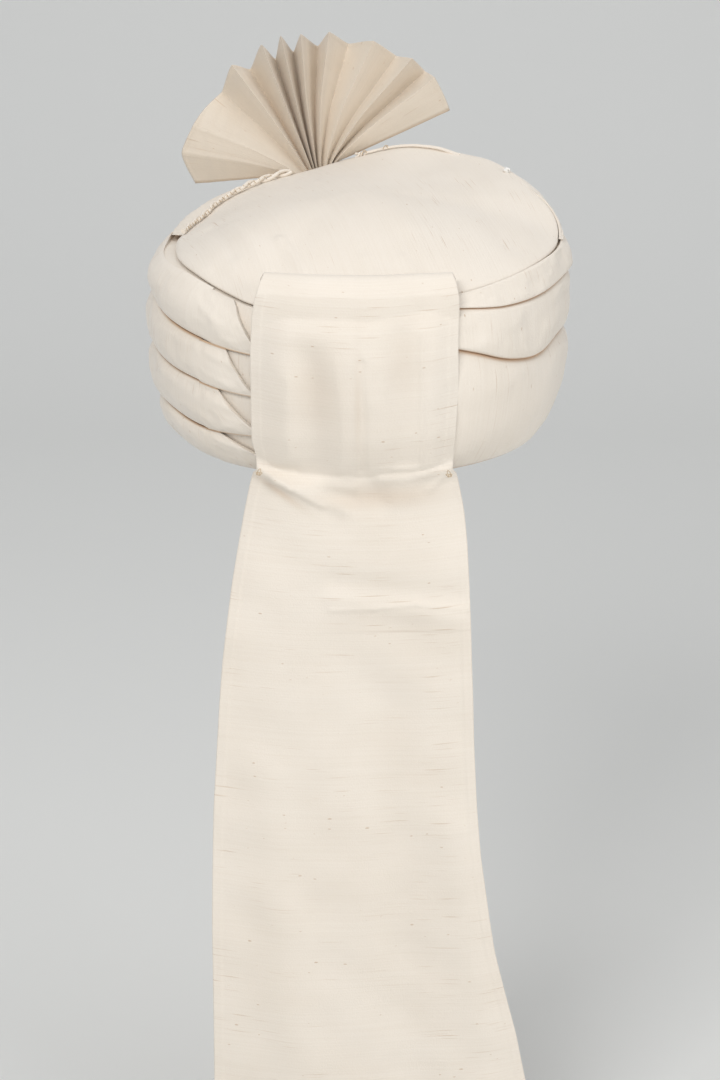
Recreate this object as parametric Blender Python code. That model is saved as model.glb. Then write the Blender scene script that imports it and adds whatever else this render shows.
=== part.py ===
"""Tied turban pagri: padded wraps round a hollow cap, a domed crown, a pleated fan and a hanging tail.

Metres, +Z up, +Y the wearer's forward, +X the wearer's right. The origin is the centre of the head
opening, in the plane of the rim. A turn is an angle in degrees about +Z: 0 at the back, 90 at the
wearer's right, 180 in front and 270 at the wearer's left.
"""

import math

import bmesh
import bpy
import numpy as np

BODY_HALF_WIDTH = 0.125
BODY_HALF_DEPTH = 0.140
HEAD_HALF_WIDTH = 0.078
HEAD_HALF_DEPTH = 0.098
PLAN_POWER = 2.2
RIDGE_HEIGHT = 0.149
CROWN_MIDDLE = 0.137
CROWN_POWER = 1.9
CAP_WALL = 0.002
CLOTH_WALL = 0.0016
CLEARANCE = 0.0004
CROWN_LAP = 0.0030
RIM_DROP = 0.0025

CREASE_SHARE = 0.15
CREASE_DEEPEST = 0.0075
BULGE_POWER = 3.6
SWELL = 0.0009
SWELLS_ROUND = (5, 8)
SWELL_TILT = 6.0
SHOULDER_FROM = 0.7
SHOULDER_RISE = 0.25

TURN_STEP = 7.5
CROWN_RINGS = (0.25, 0.5, 0.72, 0.88, 0.97)
CROWN_HEM = 0.985
LINING_RINGS = (0.93, 0.7, 0.4)
LINING_DROP = 1.2 * CAP_WALL

BAND_TURNS = (90.0, 262.5)
BAND_ROWS = (0.0, 0.1, 0.3, 0.6, 0.85, 1.0)
BAND_LEAN = 0.085
BAND_LEAN_POWER = 1.6
BAND_PINCH = 0.004

WRAP_TURNS = (19.0, 318.0)
WRAP_ROWS = 39
WRAP_POINTS = 9
LAST_WRAP_START = 120.0
TONGUE_START = 321.0
TONGUE_END = 335.0
TONGUE_SLANT = 11.0
TONGUE_CURVE = 1.3
TONGUE_ROWS = (0.0, 0.34, 0.68, 1.0)
TONGUE_DIP = 0.0016

UNDER_TURNS = (321.8, 378.0)
UNDER_COLUMNS = 11
UNDER_ROWS = (0.0, 0.08, 0.2, 0.4, 0.6, 0.8, 0.92, 1.0)
UNDER_DEPTH = 0.0050

TWIST_TURNS = (206.0, 268.0)
PIPING_TURNS = (144.0, 177.0)
TWIST_RADIUS = 0.0026
PIPING_RADIUS = 0.0017
CORD_LOBE = 0.22
CORD_SIDES = 8
TWIST_PITCH = 0.020
TWIST_RINGS = 50
PIPING_RINGS = 14

FAN_ACROSS = -0.227 * BODY_HALF_WIDTH
FAN_FORWARD = 0.771 * BODY_HALF_DEPTH
FAN_BASE = 0.870 * RIDGE_HEIGHT
FAN_FOOT_TURNS = (202.0, 186.0)
FAN_RADIUS = 0.096
FAN_HUB = 0.0150
FAN_GATHER = 0.050
FAN_LEAN = 25.0
FAN_CURL = 0.003
FAN_WALL = 0.0022
FAN_PLEAT = 0.0075
FAN_PLEAT_AT_HUB = 0.16
FAN_RINGS = 8
FAN_FACETS = 3

TAIL_DROP = 0.395
PANEL_WIDTH = 0.114
PANEL_PUFF = 0.0032
PANEL_PRESS = 0.0002
PANEL_EDGE_FROM = 0.32
PANEL_EDGE_TO = 0.50
PANEL_DENT = 0.6
PANEL_TOP = 0.752 * RIDGE_HEIGHT
FOLD_TILT = 160.0
FOLD_SETBACK = 0.995
TAIL_FLAT_BELOW = 0.25
TAIL_FLATNESS = 0.9
TAIL_COLUMNS = 15

# Heights of the edges of the wraps: turn, share of RIDGE_HEIGHT.
SEAM_HEIGHT = (
    (-42, .705), (-34, .660), (-27, .635), (0, .650), (20, .672), (27, .682), (35, .696),
    (44, .710), (52, .724), (62, .738), (80, .758), (95, .765), (120, .758), (150, .750),
    (180, .744), (210, .738), (240, .728), (262, .722), (275, .722), (290, .722), (303, .718),
    (311, .709), (319, .686), (326, .664), (333, .636), (360, .650), (378, .670), (400, .700),
)
FIRST_EDGE = (
    (19, .638), (30, .624), (37, .613), (48, .615), (55, .622), (62, .635), (69, .648), (90, .638),
    (120, .625), (150, .605), (180, .590), (210, .575), (240, .562), (270, .553), (289, .550),
    (299, .524), (306, .508), (316, .486), (326, .467), (335, .454), (400, .454),
)
SECOND_EDGE = (
    (19, .500), (24, .483), (31, .452), (37, .416), (45, .395), (51, .386), (58, .397), (64, .424),
    (80, .420), (90, .410), (130, .400), (180, .382), (230, .356), (270, .340), (298, .345),
    (305, .336), (317, .322), (323, .307), (334, .296), (400, .296),
)
THIRD_EDGE = (
    (98, -.017), (112, .016), (140, .080), (165, .122), (200, .152), (240, .160), (270, .154),
    (291, .150), (301, .148), (308, .136), (318, .126), (328, .131), (335, .139), (400, .139),
)
# Height of the crown's edge where it rises to the ridge: turn, share of RIDGE_HEIGHT.
CROWN_EDGE = (
    (60, .735), (75, .752), (82.5, .768), (90, .805), (97.5, .855), (105, .887), (112.5, .915),
    (120, .932), (135, .965), (142.5, .966), (150, .973), (157.5, .981), (165, .979),
    (172.5, .959), (180, .931), (187.5, .907), (195, .878), (202.5, .861), (210, .847),
    (217.5, .827), (232.5, .789), (247.5, .749), (262.5, .732), (270, .728), (277.5, .722),
    (292.5, .722),
)
# How far out the crown's edge is: turn, share of the body's radius.
CROWN_REACH = (
    (0, .895), (45, .91), (60, .925), (75, .945), (90, .945), (97.5, .905), (105, .86),
    (112.5, .825), (120, .81), (135, .80), (247.5, .80), (262.5, .83), (270, .85), (285, .855),
    (300, .875), (315, .89), (330, .895), (360, .895),
)
# How far out the foot of the front band is: turn, share of the body's radius.
BAND_REACH = ((90, .935), (225, .93), (245, .905), (263, .875))
# Shoulder that the body keeps up to the seam: turn, share added to its radius there.
SHOULDER = ((-60, .02), (0, .0), (40, .01), (62, .03), (80, .05), (100, .05), (130, .01), (250, .01),
            (275, .02), (300, .02), (335, .01), (360, .0), (400, .01))
# Profile of the body: share of the height of the seam, share of the body's radius.
PROFILE = (
    (-.1, .84), (-.03, .87), (0, .89), (.06, .92), (.12, .945), (.25, .98), (.45, 1.0), (.7, 1.0),
    (.86, .98), (1.0, .925), (1.1, .90),
)
# Fold line or hollow of the fan: angle, share of FAN_RADIUS, side (1 near, -1 far).
FAN_FOLDS = (
    (183.8, .766, -1), (172.6, .860, .3), (160.2, .820, 1), (137.0, .815, -1), (127.6, .860, 1),
    (119.6, .831, -1), (112.2, .876, 1), (107.2, .829, -1), (103.3, .892, 1), (98.6, .851, -1),
    (94.8, .885, 1), (87.8, .878, -1), (83.0, .912, 1), (75.0, .920, -1), (64.6, .935, 1),
    (55.4, .974, -1), (48.1, .978, 1), (43.1, 1.02, -1), (36.9, 1.0, 1), (25.6, 1.0, -.6),
)
# Edges of the tail: height as a share of TAIL_DROP below the rim and of PANEL_TOP above it, left and
# right as shares of PANEL_WIDTH.
TAIL_EDGES = (
    (-1.0, -.754, .912), (-.954, -.750, .880), (-.884, -.748, .833), (-.815, -.746, .772),
    (-.742, -.746, .711), (-.681, -.744, .678), (-.582, -.735, .630), (-.504, -.725, .606),
    (-.408, -.702, .588), (-.334, -.684, .579), (-.278, -.667, .570), (-.215, -.640, .562),
    (-.159, -.614, .553), (-.101, -.579, .542), (-.056, -.550, .526), (-.013, -.518, .496),
    (.021, -.486, .466), (.106, -.492, .472), (.162, -.508, .474), (.296, -.509, .482),
    (.465, -.509, .490), (.642, -.509, .484), (.811, -.500, .488), (.902, -.484, .488),
    (.962, -.462, .474), (1.001, -.440, .456), (1.23, -.440, .456),
)
# The fold over the top of the panel: share of PANEL_TOP, share of the body's depth there.
PANEL_FOLD = (
    (.945, .850), (.980, .862), (1.0, .885), (1.0, .915), (.975, .945), (.930, .972),
)
# The panel and tail below the fold: height as in TAIL_EDGES, share of the body's depth.
TAIL_DEPTH = (
    (-1.0, .915), (-.5, .925), (-.1, .930), (-.03, .915), (.0, .905), (.176, .940), (.353, .965),
    (.705, .970), (.881, .965), (.952, .955),
)
# Rows of the tail below the fold: first and last height as in TAIL_EDGES, rows.
TAIL_ROWS = ((.924, .0, 13), (-.022, -.30, 13), (-.37, -1.0, 9))
# Creases of the tail: start x, start z, end x, end z, height, half width, all shares of PANEL_WIDTH.
TAIL_CREASES = (
    (-.49, .02, -.06, -.16, .025, .040), (-.40, -.03, -.02, -.06, .014, .035),
    (.46, .02, .12, .00, .026, .044), (.10, -.12, -.12, -.10, -.035, .075),
    (-.04, .62, -.03, .03, .014, .044), (-.26, .62, -.25, .05, -.014, .105),
    (.30, .82, .30, .05, -.013, .061), (-.12, -.62, .50, -.72, .011, .053),
    (-.10, -.54, .50, -.62, -.016, .070), (-.45, -1.6, -.30, -3.4, .026, .140),
    (.12, -1.2, .30, -3.4, -.031, .175), (.52, -1.9, .72, -3.4, .026, .123),
)


def column(table, at, which=1):
    """A column of a table, read at a value of its first column."""
    rows = np.array(table, float)
    return np.interp(at, rows[:, 0], rows[:, which])


def plan(turn, half_width, half_depth):
    """Radius of a rounded oblong at a turn."""
    across = abs(math.sin(math.radians(turn))) / half_width
    along = abs(math.cos(math.radians(turn))) / half_depth
    return (across**PLAN_POWER + along**PLAN_POWER) ** (-1 / PLAN_POWER)


def point(turn, radius, height):
    angle = math.radians(turn)
    return (radius * math.sin(angle), -radius * math.cos(angle), height)


def seam_height(turn):
    return RIDGE_HEIGHT * column(SEAM_HEIGHT, turn)


def body_radius(turn, height):
    """Outermost radius of the body at a turn and height."""
    rise = height / seam_height(turn)
    shoulder = eased((rise - SHOULDER_FROM) / SHOULDER_RISE)
    share = column(PROFILE, rise) + column(SHOULDER, turn) * shoulder
    wave = math.radians(turn)
    few, many = SWELLS_ROUND
    swell = math.sin(few * wave + 1) + math.sin(many * wave + SWELL_TILT * height / RIDGE_HEIGHT)
    return plan(turn, BODY_HALF_WIDTH, BODY_HALF_DEPTH) * share - SWELL * (1 - swell / 2)


def cap_radius(turn):
    """Outer radius of the wall of the cap."""
    return plan(turn, HEAD_HALF_WIDTH, HEAD_HALF_DEPTH) + CAP_WALL


def eased(value):
    value = min(max(value, 0.0), 1.0)
    return value * value * (3 - 2 * value)


def crown_edge(turn):
    """Radius and height of the crown's edge."""
    radius = plan(turn, BODY_HALF_WIDTH, BODY_HALF_DEPTH) * column(CROWN_REACH, turn)
    if CROWN_EDGE[0][0] <= turn <= CROWN_EDGE[-1][0]:
        return radius, RIDGE_HEIGHT * column(CROWN_EDGE, turn)
    return radius, seam_height(turn)


def crown_height(turn, radius):
    """Height of the crown's upper face at a turn and radius."""
    edge_radius, edge_height = crown_edge(turn)
    share = (radius / edge_radius) ** CROWN_POWER
    return CROWN_MIDDLE + (edge_height - CROWN_MIDDLE) * share


def silk():
    """Ivory raw silk."""
    material = bpy.data.materials.get("ivory_raw_silk")
    if material is None:
        material = bpy.data.materials.new("ivory_raw_silk")
        material.use_nodes = True
        shader = material.node_tree.nodes["Principled BSDF"]
        shader.inputs["Base Color"].default_value = (0.80, 0.74, 0.65, 1.0)
        shader.inputs["Roughness"].default_value = 0.55
    return material


def solid(name, points, faces):
    """A closed mesh with its faces outward."""
    mesh = bpy.data.meshes.new(name)
    mesh.from_pydata([tuple(p) for p in points], [], faces)
    part = bpy.data.objects.new(name, mesh)
    bpy.context.collection.objects.link(part)
    work = bmesh.new()
    work.from_mesh(mesh)
    bmesh.ops.triangulate(work, faces=work.faces[:])
    bmesh.ops.recalc_face_normals(work, faces=work.faces[:])
    work.to_mesh(mesh)
    work.free()
    mesh.materials.append(silk())
    return part


def slab(name, outer, inner):
    """A solid between two grids of points with as many rows and columns, joined at their borders."""
    rows = len(outer)
    columns = len(outer[0])
    points = [p for row in outer for p in row] + [p for row in inner for p in row]
    back = rows * columns
    faces = []
    for i in range(rows - 1):
        for j in range(columns - 1):
            a = i * columns + j
            quad = (a, a + 1, a + columns + 1, a + columns)
            faces.append(quad)
            faces.append(tuple(back + k for k in reversed(quad)))
    border = [j for j in range(columns)]
    border += [i * columns + columns - 1 for i in range(1, rows)]
    border += [(rows - 1) * columns + j for j in range(columns - 2, -1, -1)]
    border += [i * columns for i in range(rows - 2, 0, -1)]
    for a, b in zip(border, border[1:] + border[:1]):
        faces.append((b, a, back + a, back + b))
    return solid(name, points, faces)


def tube(name, rings):
    """A solid through closed rings of points, with a flat face at each end."""
    count = len(rings[0])
    points = [p for ring in rings for p in ring]
    faces = []
    for i in range(len(rings) - 1):
        for j in range(count):
            a = i * count + j
            b = i * count + (j + 1) % count
            faces.append((a, b, b + count, a + count))
    faces.append(tuple(range(count)))
    faces.append(tuple(range(len(points) - count, len(points))))
    return solid(name, points, faces)


def crown_cap():
    """The domed crown and the cap's wall below it, one shell that is open below."""
    turns = np.arange(0.0, 360.0, TURN_STEP)
    rings = []
    for turn in turns:
        edge_radius, edge_height = crown_edge(turn)
        wall = cap_radius(turn)
        lining = wall - CAP_WALL
        outer = [
            point(turn, edge_radius * s, crown_height(turn, edge_radius * s))
            for s in CROWN_RINGS
        ]
        outer.append(point(turn, edge_radius, edge_height - CAP_WALL / 2))
        outer.append(point(turn, edge_radius * CROWN_HEM, edge_height - CAP_WALL))
        shoulder = crown_height(turn, wall) - CAP_WALL
        outer.append(point(turn, wall + CAP_WALL / 2, shoulder - CAP_WALL / 2))
        outer.append(point(turn, wall, shoulder - 2 * CAP_WALL))
        outer.append(point(turn, wall, shoulder / 2))
        outer.append(point(turn, wall, 0.0))
        inner = [point(turn, lining, 0.0), point(turn, lining, shoulder / 2)]
        inner.append(point(turn, lining, crown_height(turn, lining) - 3 * CAP_WALL))
        for s in LINING_RINGS:
            inner.append(point(turn, lining * s, crown_height(turn, lining * s) - LINING_DROP))
        rings.append(outer + inner)
    count = len(rings[0])
    points = [p for ring in rings for p in ring]
    top = len(points)
    points.append((0.0, 0.0, CROWN_MIDDLE))
    points.append((0.0, 0.0, CROWN_MIDDLE - LINING_DROP))
    faces = []
    for i in range(len(rings)):
        here = i * count
        after = ((i + 1) % len(rings)) * count
        for j in range(count - 1):
            faces.append((here + j, here + j + 1, after + j + 1, after + j))
        faces.append((top, here, after))
        faces.append((here + count - 1, top + 1, after + count - 1))
    return solid("crown_cap", points, faces)


def pillow(turn, up, low, high):
    """Radius and height of a padded wrap's outer face at a turn and a share of the way up it."""
    depth = min(CREASE_SHARE * (high - low), CREASE_DEEPEST)
    height = low + (high - low) * up
    return body_radius(turn, height) - depth * abs(2 * up - 1) ** BULGE_POWER, height


def wrap(name, low_edge, high_edge, start):
    """A padded wrap from the right of the back round the front to the left of the back.

    Its left end thins to a tongue that lies over the wrap below it and ends on a slant.
    """
    rows = [(t, None) for t in np.linspace(*WRAP_TURNS, WRAP_ROWS) if t >= start]
    rows += [(TONGUE_START, share) for share in TONGUE_ROWS]
    outer, inner = [], []
    for turn, share in rows:
        outer.append([])
        inner.append([])
        for k in range(WRAP_POINTS):
            up = (1 - math.cos(math.pi * k / (WRAP_POINTS - 1))) / 2
            at = turn
            if share is not None:
                at += (TONGUE_END - TONGUE_SLANT * up**TONGUE_CURVE - turn) * share
            radius, height = pillow(at, up, low_edge(at), high_edge(at))
            inside = cap_radius(at) + CLEARANCE
            if share is not None:
                inside = body_radius(at, height) - UNDER_DEPTH + 2 * CLEARANCE
                radius = max(radius - TONGUE_DIP * share**3, inside + CLOTH_WALL)
            outer[-1].append(point(at, radius, height))
            inner[-1].append(point(at, inside, height))
    return slab(name, outer, inner)


def under_wrap():
    """The wrap behind the panel, whose left end shows beside the panel under the others' ends."""
    outer, inner = [], []
    for turn in np.linspace(*UNDER_TURNS, UNDER_COLUMNS):
        top = seam_height(turn) - CROWN_LAP
        outer.append([])
        inner.append([])
        for up in UNDER_ROWS:
            height = (top + RIM_DROP) * up - RIM_DROP
            radius = body_radius(turn, height) - UNDER_DEPTH - CLEARANCE
            outer[-1].append(point(turn, radius, height))
            inner[-1].append(point(turn, cap_radius(turn) + CLEARANCE, height))
    return slab("under_wrap", outer, inner)


def front_band():
    """The topmost wrap, which rises in front from the other wraps to the ridge."""
    outer, inner = [], []
    for turn in np.arange(BAND_TURNS[0], BAND_TURNS[1] + 1, TURN_STEP):
        edge_radius, ridge = crown_edge(turn)
        low = seam_height(turn) + CLEARANCE
        high = max(ridge - CAP_WALL / 2, low + CAP_WALL)
        full = plan(turn, BODY_HALF_WIDTH, BODY_HALF_DEPTH)
        inside = edge_radius + 2 * CLEARANCE
        outer.append([])
        inner.append([])
        for up in BAND_ROWS:
            share = column(BAND_REACH, turn) + column(SHOULDER, turn) * (1 - up)
            share -= BAND_LEAN * up**BAND_LEAN_POWER * (high - low) / (RIDGE_HEIGHT - low)
            pinch = BAND_PINCH * abs(2 * up - 1) ** 4
            radius = max(full * share - pinch, inside + CLOTH_WALL)
            height = low + (high - low) * up
            outer[-1].append(point(turn, radius, height))
            inner[-1].append(point(turn, inside, height))
    return slab("front_band", outer, inner)


def cord(name, turns, rings_along, radius, pitch):
    """A two-lobed cord along the ridge, twisted at a pitch, or left straight with no pitch."""
    rings = []
    along = 0.0
    last = None
    reach = radius * (1 + CORD_LOBE) if pitch else radius * (1 - CORD_LOBE)
    for turn in np.linspace(*turns, rings_along):
        middle = crown_edge(turn)[0] - radius
        lift = crown_height(turn, middle) + reach + CLEARANCE / 2
        centre = np.array(point(turn, middle, lift))
        if last is not None:
            along += float(np.linalg.norm(centre - last))
        last = centre
        outward = np.array(point(turn, 1.0, 0.0))
        upward = np.array((0.0, 0.0, 1.0))
        roll = 2 * math.pi * along / pitch if pitch else 0.0
        ring = []
        for k in range(CORD_SIDES):
            angle = 2 * math.pi * k / CORD_SIDES
            size = radius * (1 + CORD_LOBE * math.cos(2 * (angle - roll)))
            ring.append(centre + size * (math.cos(angle) * outward + math.sin(angle) * upward))
        rings.append(ring)
    return tube(name, rings)


def ridge_twist():
    """The twisted, gathered hem along the ridge, left of the fan."""
    return cord("ridge_twist", TWIST_TURNS, TWIST_RINGS, TWIST_RADIUS, TWIST_PITCH)


def ridge_piping():
    """The double piping along the ridge, right of the fan."""
    return cord("ridge_piping", PIPING_TURNS, PIPING_RINGS, PIPING_RADIUS, None)


def fan_point(angle, radius, offset):
    """A point of the fan: polar in its leaning face, moved off it, and gathered to its foot."""
    lean = math.radians(FAN_LEAN)
    up = radius * math.sin(math.radians(angle))
    curl = FAN_CURL * (radius / FAN_RADIUS) ** 2
    spread = np.array((
        FAN_ACROSS + radius * math.cos(math.radians(angle)),
        FAN_FORWARD + up * math.sin(lean) + curl - offset * math.cos(lean),
        FAN_BASE + up * math.cos(lean) + offset * math.sin(lean),
    ))
    first, last = FAN_FOLDS[0][0], FAN_FOLDS[-1][0]
    turn = np.interp(angle, (last, first), FAN_FOOT_TURNS[::-1])
    edge_radius, ridge = crown_edge(turn)
    seat = ridge - CAP_WALL / 2 + CLEARANCE
    foot = np.array(point(turn, edge_radius + FAN_WALL - offset, seat))
    gather = eased((radius - FAN_HUB) / (FAN_GATHER - FAN_HUB))
    return foot + (spread - foot) * gather


def turra_fan():
    """The pleated fan, gathered at its foot on the ridge."""
    places = np.arange(0, len(FAN_FOLDS) - 1 + 0.5 / FAN_FACETS, 1 / FAN_FACETS)
    folds = np.array(FAN_FOLDS, float)
    angles, reaches, sides = (np.interp(places, range(len(folds)), folds[:, k]) for k in range(3))
    outer, inner = [], []
    for angle, reach, side in zip(angles, reaches, sides):
        outer.append([])
        inner.append([])
        for k in range(FAN_RINGS):
            share = k / (FAN_RINGS - 1)
            radius = FAN_HUB + (FAN_RADIUS * reach - FAN_HUB) * share
            depth = FAN_PLEAT * (FAN_PLEAT_AT_HUB + (1 - FAN_PLEAT_AT_HUB) * share)
            crest = depth * math.sin(side * math.pi / 2)
            outer[-1].append(fan_point(angle, radius, crest + FAN_WALL / 2))
            inner[-1].append(fan_point(angle, radius, crest - FAN_WALL / 2))
    return slab("turra_fan", outer, inner)


def crease_lift(across, height):
    """How far the tail's creases lift it off its smooth shape, toward the back."""
    lift = 0.0
    for x0, z0, x1, z1, size, width in TAIL_CREASES:
        start = np.array((x0, z0)) * PANEL_WIDTH
        line = np.array((x1, z1)) * PANEL_WIDTH - start
        here = np.array((across, height)) - start
        share = float(here @ line) / float(line @ line)
        off = (here - line * min(max(share, 0.0), 1.0)) / (width * PANEL_WIDTH)
        lift += size * PANEL_WIDTH * math.exp(-float(off @ off))
    return lift


def tail_share(height):
    """A height in the terms of the tail's tables."""
    return height / (TAIL_DROP if height < 0 else PANEL_TOP)


def panel_depth(across, height):
    """How far behind the middle the tail's inner face is, at a place across and a height."""
    turn = math.degrees(math.atan2(across, BODY_HALF_DEPTH))
    share = (abs(across) / BODY_HALF_WIDTH) ** PLAN_POWER
    body_depth = BODY_HALF_DEPTH * (1 - share) ** (1 / PLAN_POWER)
    share_back = column(TAIL_DEPTH, tail_share(height))
    depth = body_depth * share_back
    flat = eased(-height / (TAIL_FLAT_BELOW * TAIL_DROP)) * TAIL_FLATNESS
    depth += (BODY_HALF_DEPTH * share_back - depth) * flat
    out = abs(across) / PANEL_WIDTH
    edge = eased((out - PANEL_EDGE_FROM) / (PANEL_EDGE_TO - PANEL_EDGE_FROM))
    puff = PANEL_PUFF * (1 - edge) - PANEL_PRESS * edge
    depth += crease_lift(across, height)
    if height < 0:
        return depth
    full = body_radius(turn, height) / plan(turn, BODY_HALF_WIDTH, BODY_HALF_DEPTH)
    dent = min(crease_lift(across, height), 0.0) * PANEL_DENT
    return max(depth, body_depth * full + puff + dent)


def tail():
    """The panel over the back and the tail that hangs from it, one strip."""
    shares = np.concatenate([np.linspace(*ends, rows) for *ends, rows in TAIL_ROWS])
    heights = [z * (TAIL_DROP if z < 0 else PANEL_TOP) for z in shares]
    outer, inner = [], []
    stations = [(PANEL_TOP * z, share) for z, share in PANEL_FOLD]
    stations += [(height, None) for height in heights]
    for index, (height, share) in enumerate(stations):
        left = PANEL_WIDTH * column(TAIL_EDGES, tail_share(height), 1)
        right = PANEL_WIDTH * column(TAIL_EDGES, tail_share(height), 2)
        outer.append([])
        inner.append([])
        for k in range(TAIL_COLUMNS):
            across = left + (right - left) * (1 - math.cos(math.pi * k / (TAIL_COLUMNS - 1))) / 2
            if share is None:
                depth = panel_depth(across, height)
                lift = np.array((0.0, -CLOTH_WALL, 0.0))
            else:
                join = panel_depth(across, heights[0])
                depth = join * share / PANEL_FOLD[-1][1] * FOLD_SETBACK
                tilt = math.radians(FOLD_TILT * (1 - (index + 0.5) / len(PANEL_FOLD)))
                lift = CLOTH_WALL * np.array((0.0, -math.cos(tilt), math.sin(tilt)))
            base = np.array((across, -depth, height))
            inner[-1].append(base)
            outer[-1].append(base + lift)
    return slab("tail", outer, inner)


def edge_of(table):
    return lambda turn: RIDGE_HEIGHT * column(table, turn)


def build():
    for thing in list(bpy.data.objects):
        bpy.data.objects.remove(thing)
    first, second, third = edge_of(FIRST_EDGE), edge_of(SECOND_EDGE), edge_of(THIRD_EDGE)
    half = CLEARANCE / 2
    crown_cap()
    front_band()
    wrap("wrap_1", lambda t: first(t) + half, lambda t: seam_height(t) - CROWN_LAP, WRAP_TURNS[0])
    wrap("wrap_2", lambda t: second(t) + half, lambda t: first(t) - half, WRAP_TURNS[0])
    wrap("wrap_3", lambda t: third(t) + half, lambda t: second(t) - half, WRAP_TURNS[0])
    wrap("wrap_4", lambda t: -RIM_DROP, lambda t: third(t) - half, LAST_WRAP_START)
    under_wrap()
    ridge_twist()
    ridge_piping()
    turra_fan()
    tail()


build()
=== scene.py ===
"""Looks of a tied turban pagri in slubbed ivory raw silk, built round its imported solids.

Metres, +Z up, +Y the wearer's forward, +X the wearer's right. A turn is an angle in degrees about +Z:
0 at the back, 90 at the wearer's right, 180 in front and 270 at the wearer's left.
"""

import math
from functools import reduce

import bpy
import numpy as np
from bpy.props import FloatProperty, FloatVectorProperty, IntProperty, PointerProperty
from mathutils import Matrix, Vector


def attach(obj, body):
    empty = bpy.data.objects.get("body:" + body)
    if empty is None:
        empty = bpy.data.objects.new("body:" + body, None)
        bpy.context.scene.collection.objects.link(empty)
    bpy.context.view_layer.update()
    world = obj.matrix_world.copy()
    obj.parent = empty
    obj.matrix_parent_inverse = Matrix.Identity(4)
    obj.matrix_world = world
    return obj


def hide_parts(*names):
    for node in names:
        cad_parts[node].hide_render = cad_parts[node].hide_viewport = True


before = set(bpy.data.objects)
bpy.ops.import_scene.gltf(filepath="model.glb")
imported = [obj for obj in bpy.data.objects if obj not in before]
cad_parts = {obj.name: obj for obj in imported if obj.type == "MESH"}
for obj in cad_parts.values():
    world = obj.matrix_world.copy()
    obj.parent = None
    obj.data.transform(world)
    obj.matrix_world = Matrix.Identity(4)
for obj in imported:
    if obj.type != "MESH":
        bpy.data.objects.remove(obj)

bl_info = {
    "name": "Tied Turban Pagri",
    "version": (1, 0, 0),
    "blender": (4, 5, 0),
    "location": "3D View > Sidebar > Pagri",
    "description": "Builds the silk wraps, crown, fan and tail of a tied turban",
    "category": "Add Mesh",
}

BODY = "root"
SILK_SLOT = "ivory_raw_silk"

# The body, the opening for the head and the crown, in metres, with shares and powers of their curves.
BODY_HALF_WIDTH = 0.125
BODY_HALF_DEPTH = 0.140
HEAD_HALF_WIDTH = 0.078
HEAD_HALF_DEPTH = 0.098
PLAN_POWER = 2.2
RIDGE_HEIGHT = 0.149
CROWN_MIDDLE = 0.137
CROWN_POWER = 1.9
CAP_WALL = 0.002
CLOTH_WALL = 0.0016
LEAST_WALL = 0.8 * CLOTH_WALL
CLEARANCE = 0.0004
CROWN_LAP = 0.0030
RIM_DROP = 0.0025
SHOULDER_FROM = 0.7
SHOULDER_RISE = 0.25
SWELL = 0.0009
SWELLS_ROUND = (5, 8)
SWELL_TILT = 6.0

# The crown's grid, its edge and its lining.
CROWN_COLUMNS = 240
CROWN_RINGS = 56
CROWN_FADE_FROM = 0.93
CROWN_CREASE_LIFT = 1.8
HEM_ARC = (62.0, -90.0)
HEM_ARC_POINTS = 6
LINING_RINGS = 20
LINING_SHARES = (0.95, 0.05)
LINING_DROP = 1.2 * CAP_WALL

# The front band: turns from and to, its grid, and how it leans in toward the ridge.
BAND_TURNS = (79.0, 262.5)
BAND_COLUMNS = 180
BAND_POINTS = 16
BAND_LEAN = 0.085
BAND_LEAN_POWER = 1.6
BAND_PINCH = 0.004
# Its folds: height, waves up it, turns a wave, height of the band from which they are full.
BAND_FOLDS = (0.0006, 2.2, 75.0, 0.02)

# The wraps: turns in degrees, their grid, and the tongues at their left ends.
WRAP_START = 19.0
LAST_WRAP_START = 120.0
WRAP_STEP = 1.2
WRAP_POINTS = 26
TONGUE_START = 318.0
TONGUE_COLUMNS = 16
TONGUE_DIP = 0.0014
TONGUE_LIP = 0.0012
LIP_STEP = 0.0002
# The share of a wrap's face, from its middle to its edges, beyond which the simulation holds it.
HELD_BEYOND = 0.86
SETTLE_STEPS = 4
# The shade under the topmost wrap's lip: turns, strengths.
LIP_SHADE = ((60.0, 110.0, 255.0, 270.0), (0.0, 1.0, 1.0, 0.0))
# The creases between the wraps, their long folds and their puckers.
CREASE_SHARE = 0.15
CREASE_LEAST = 0.001
CREASE_BROAD = 0.75
FOLDS_FADE = 0.25
FOLD_BEND = 0.10
FOLD_SWELL = 1.7
PUCKERS = 3.5
CROWN_PARTING = 25.0
# Share of a wrap's face, from its middle to its edges, beyond which its creases get painted shade.
DARK_FROM = 0.92

# The wrap behind the panel.
UNDER_TURNS = (319.2, 378.0)
UNDER_DEPTH = 0.0050
UNDER_POINTS = 60
UNDER_CREASE = 0.004

# The hems along the ridge: turns from and to, radii, and how far they go on behind the fan.
TWIST_TURNS = (206.0, 268.0)
PIPING_TURNS = (144.0, 177.0)
TWIST_RADIUS = 0.0026
PIPING_RADIUS = 0.0017
HEM_REACH = 3.6
HEM_THINNING = 0.42
HEM_UNEVENNESS = 0.9
THREAD_UNEVENNESS = 0.2
TWIST_POINTS = 200
TWIST_LIFT = 1.1
TWIST_SINK = 0.0006
TWIST_FLATNESS = 0.8
# How loose the twist is: radius, its change, length and shift of the change.
TWIST_LOOSE = (0.0014, 0.0005, 0.013, 1.7)
PIPING_POINTS = 90
PIPING_LIFT = 0.8
PIPING_SINK = 0.0004
PIPING_APART = 0.00105
PIPING_ROLL = 2.5 * math.pi
# How the piping's end is tucked in: depth, degrees over which it sinks.
PIPING_END = (0.0016, 9.0)
PIPING_STRAND = 0.00075
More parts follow.
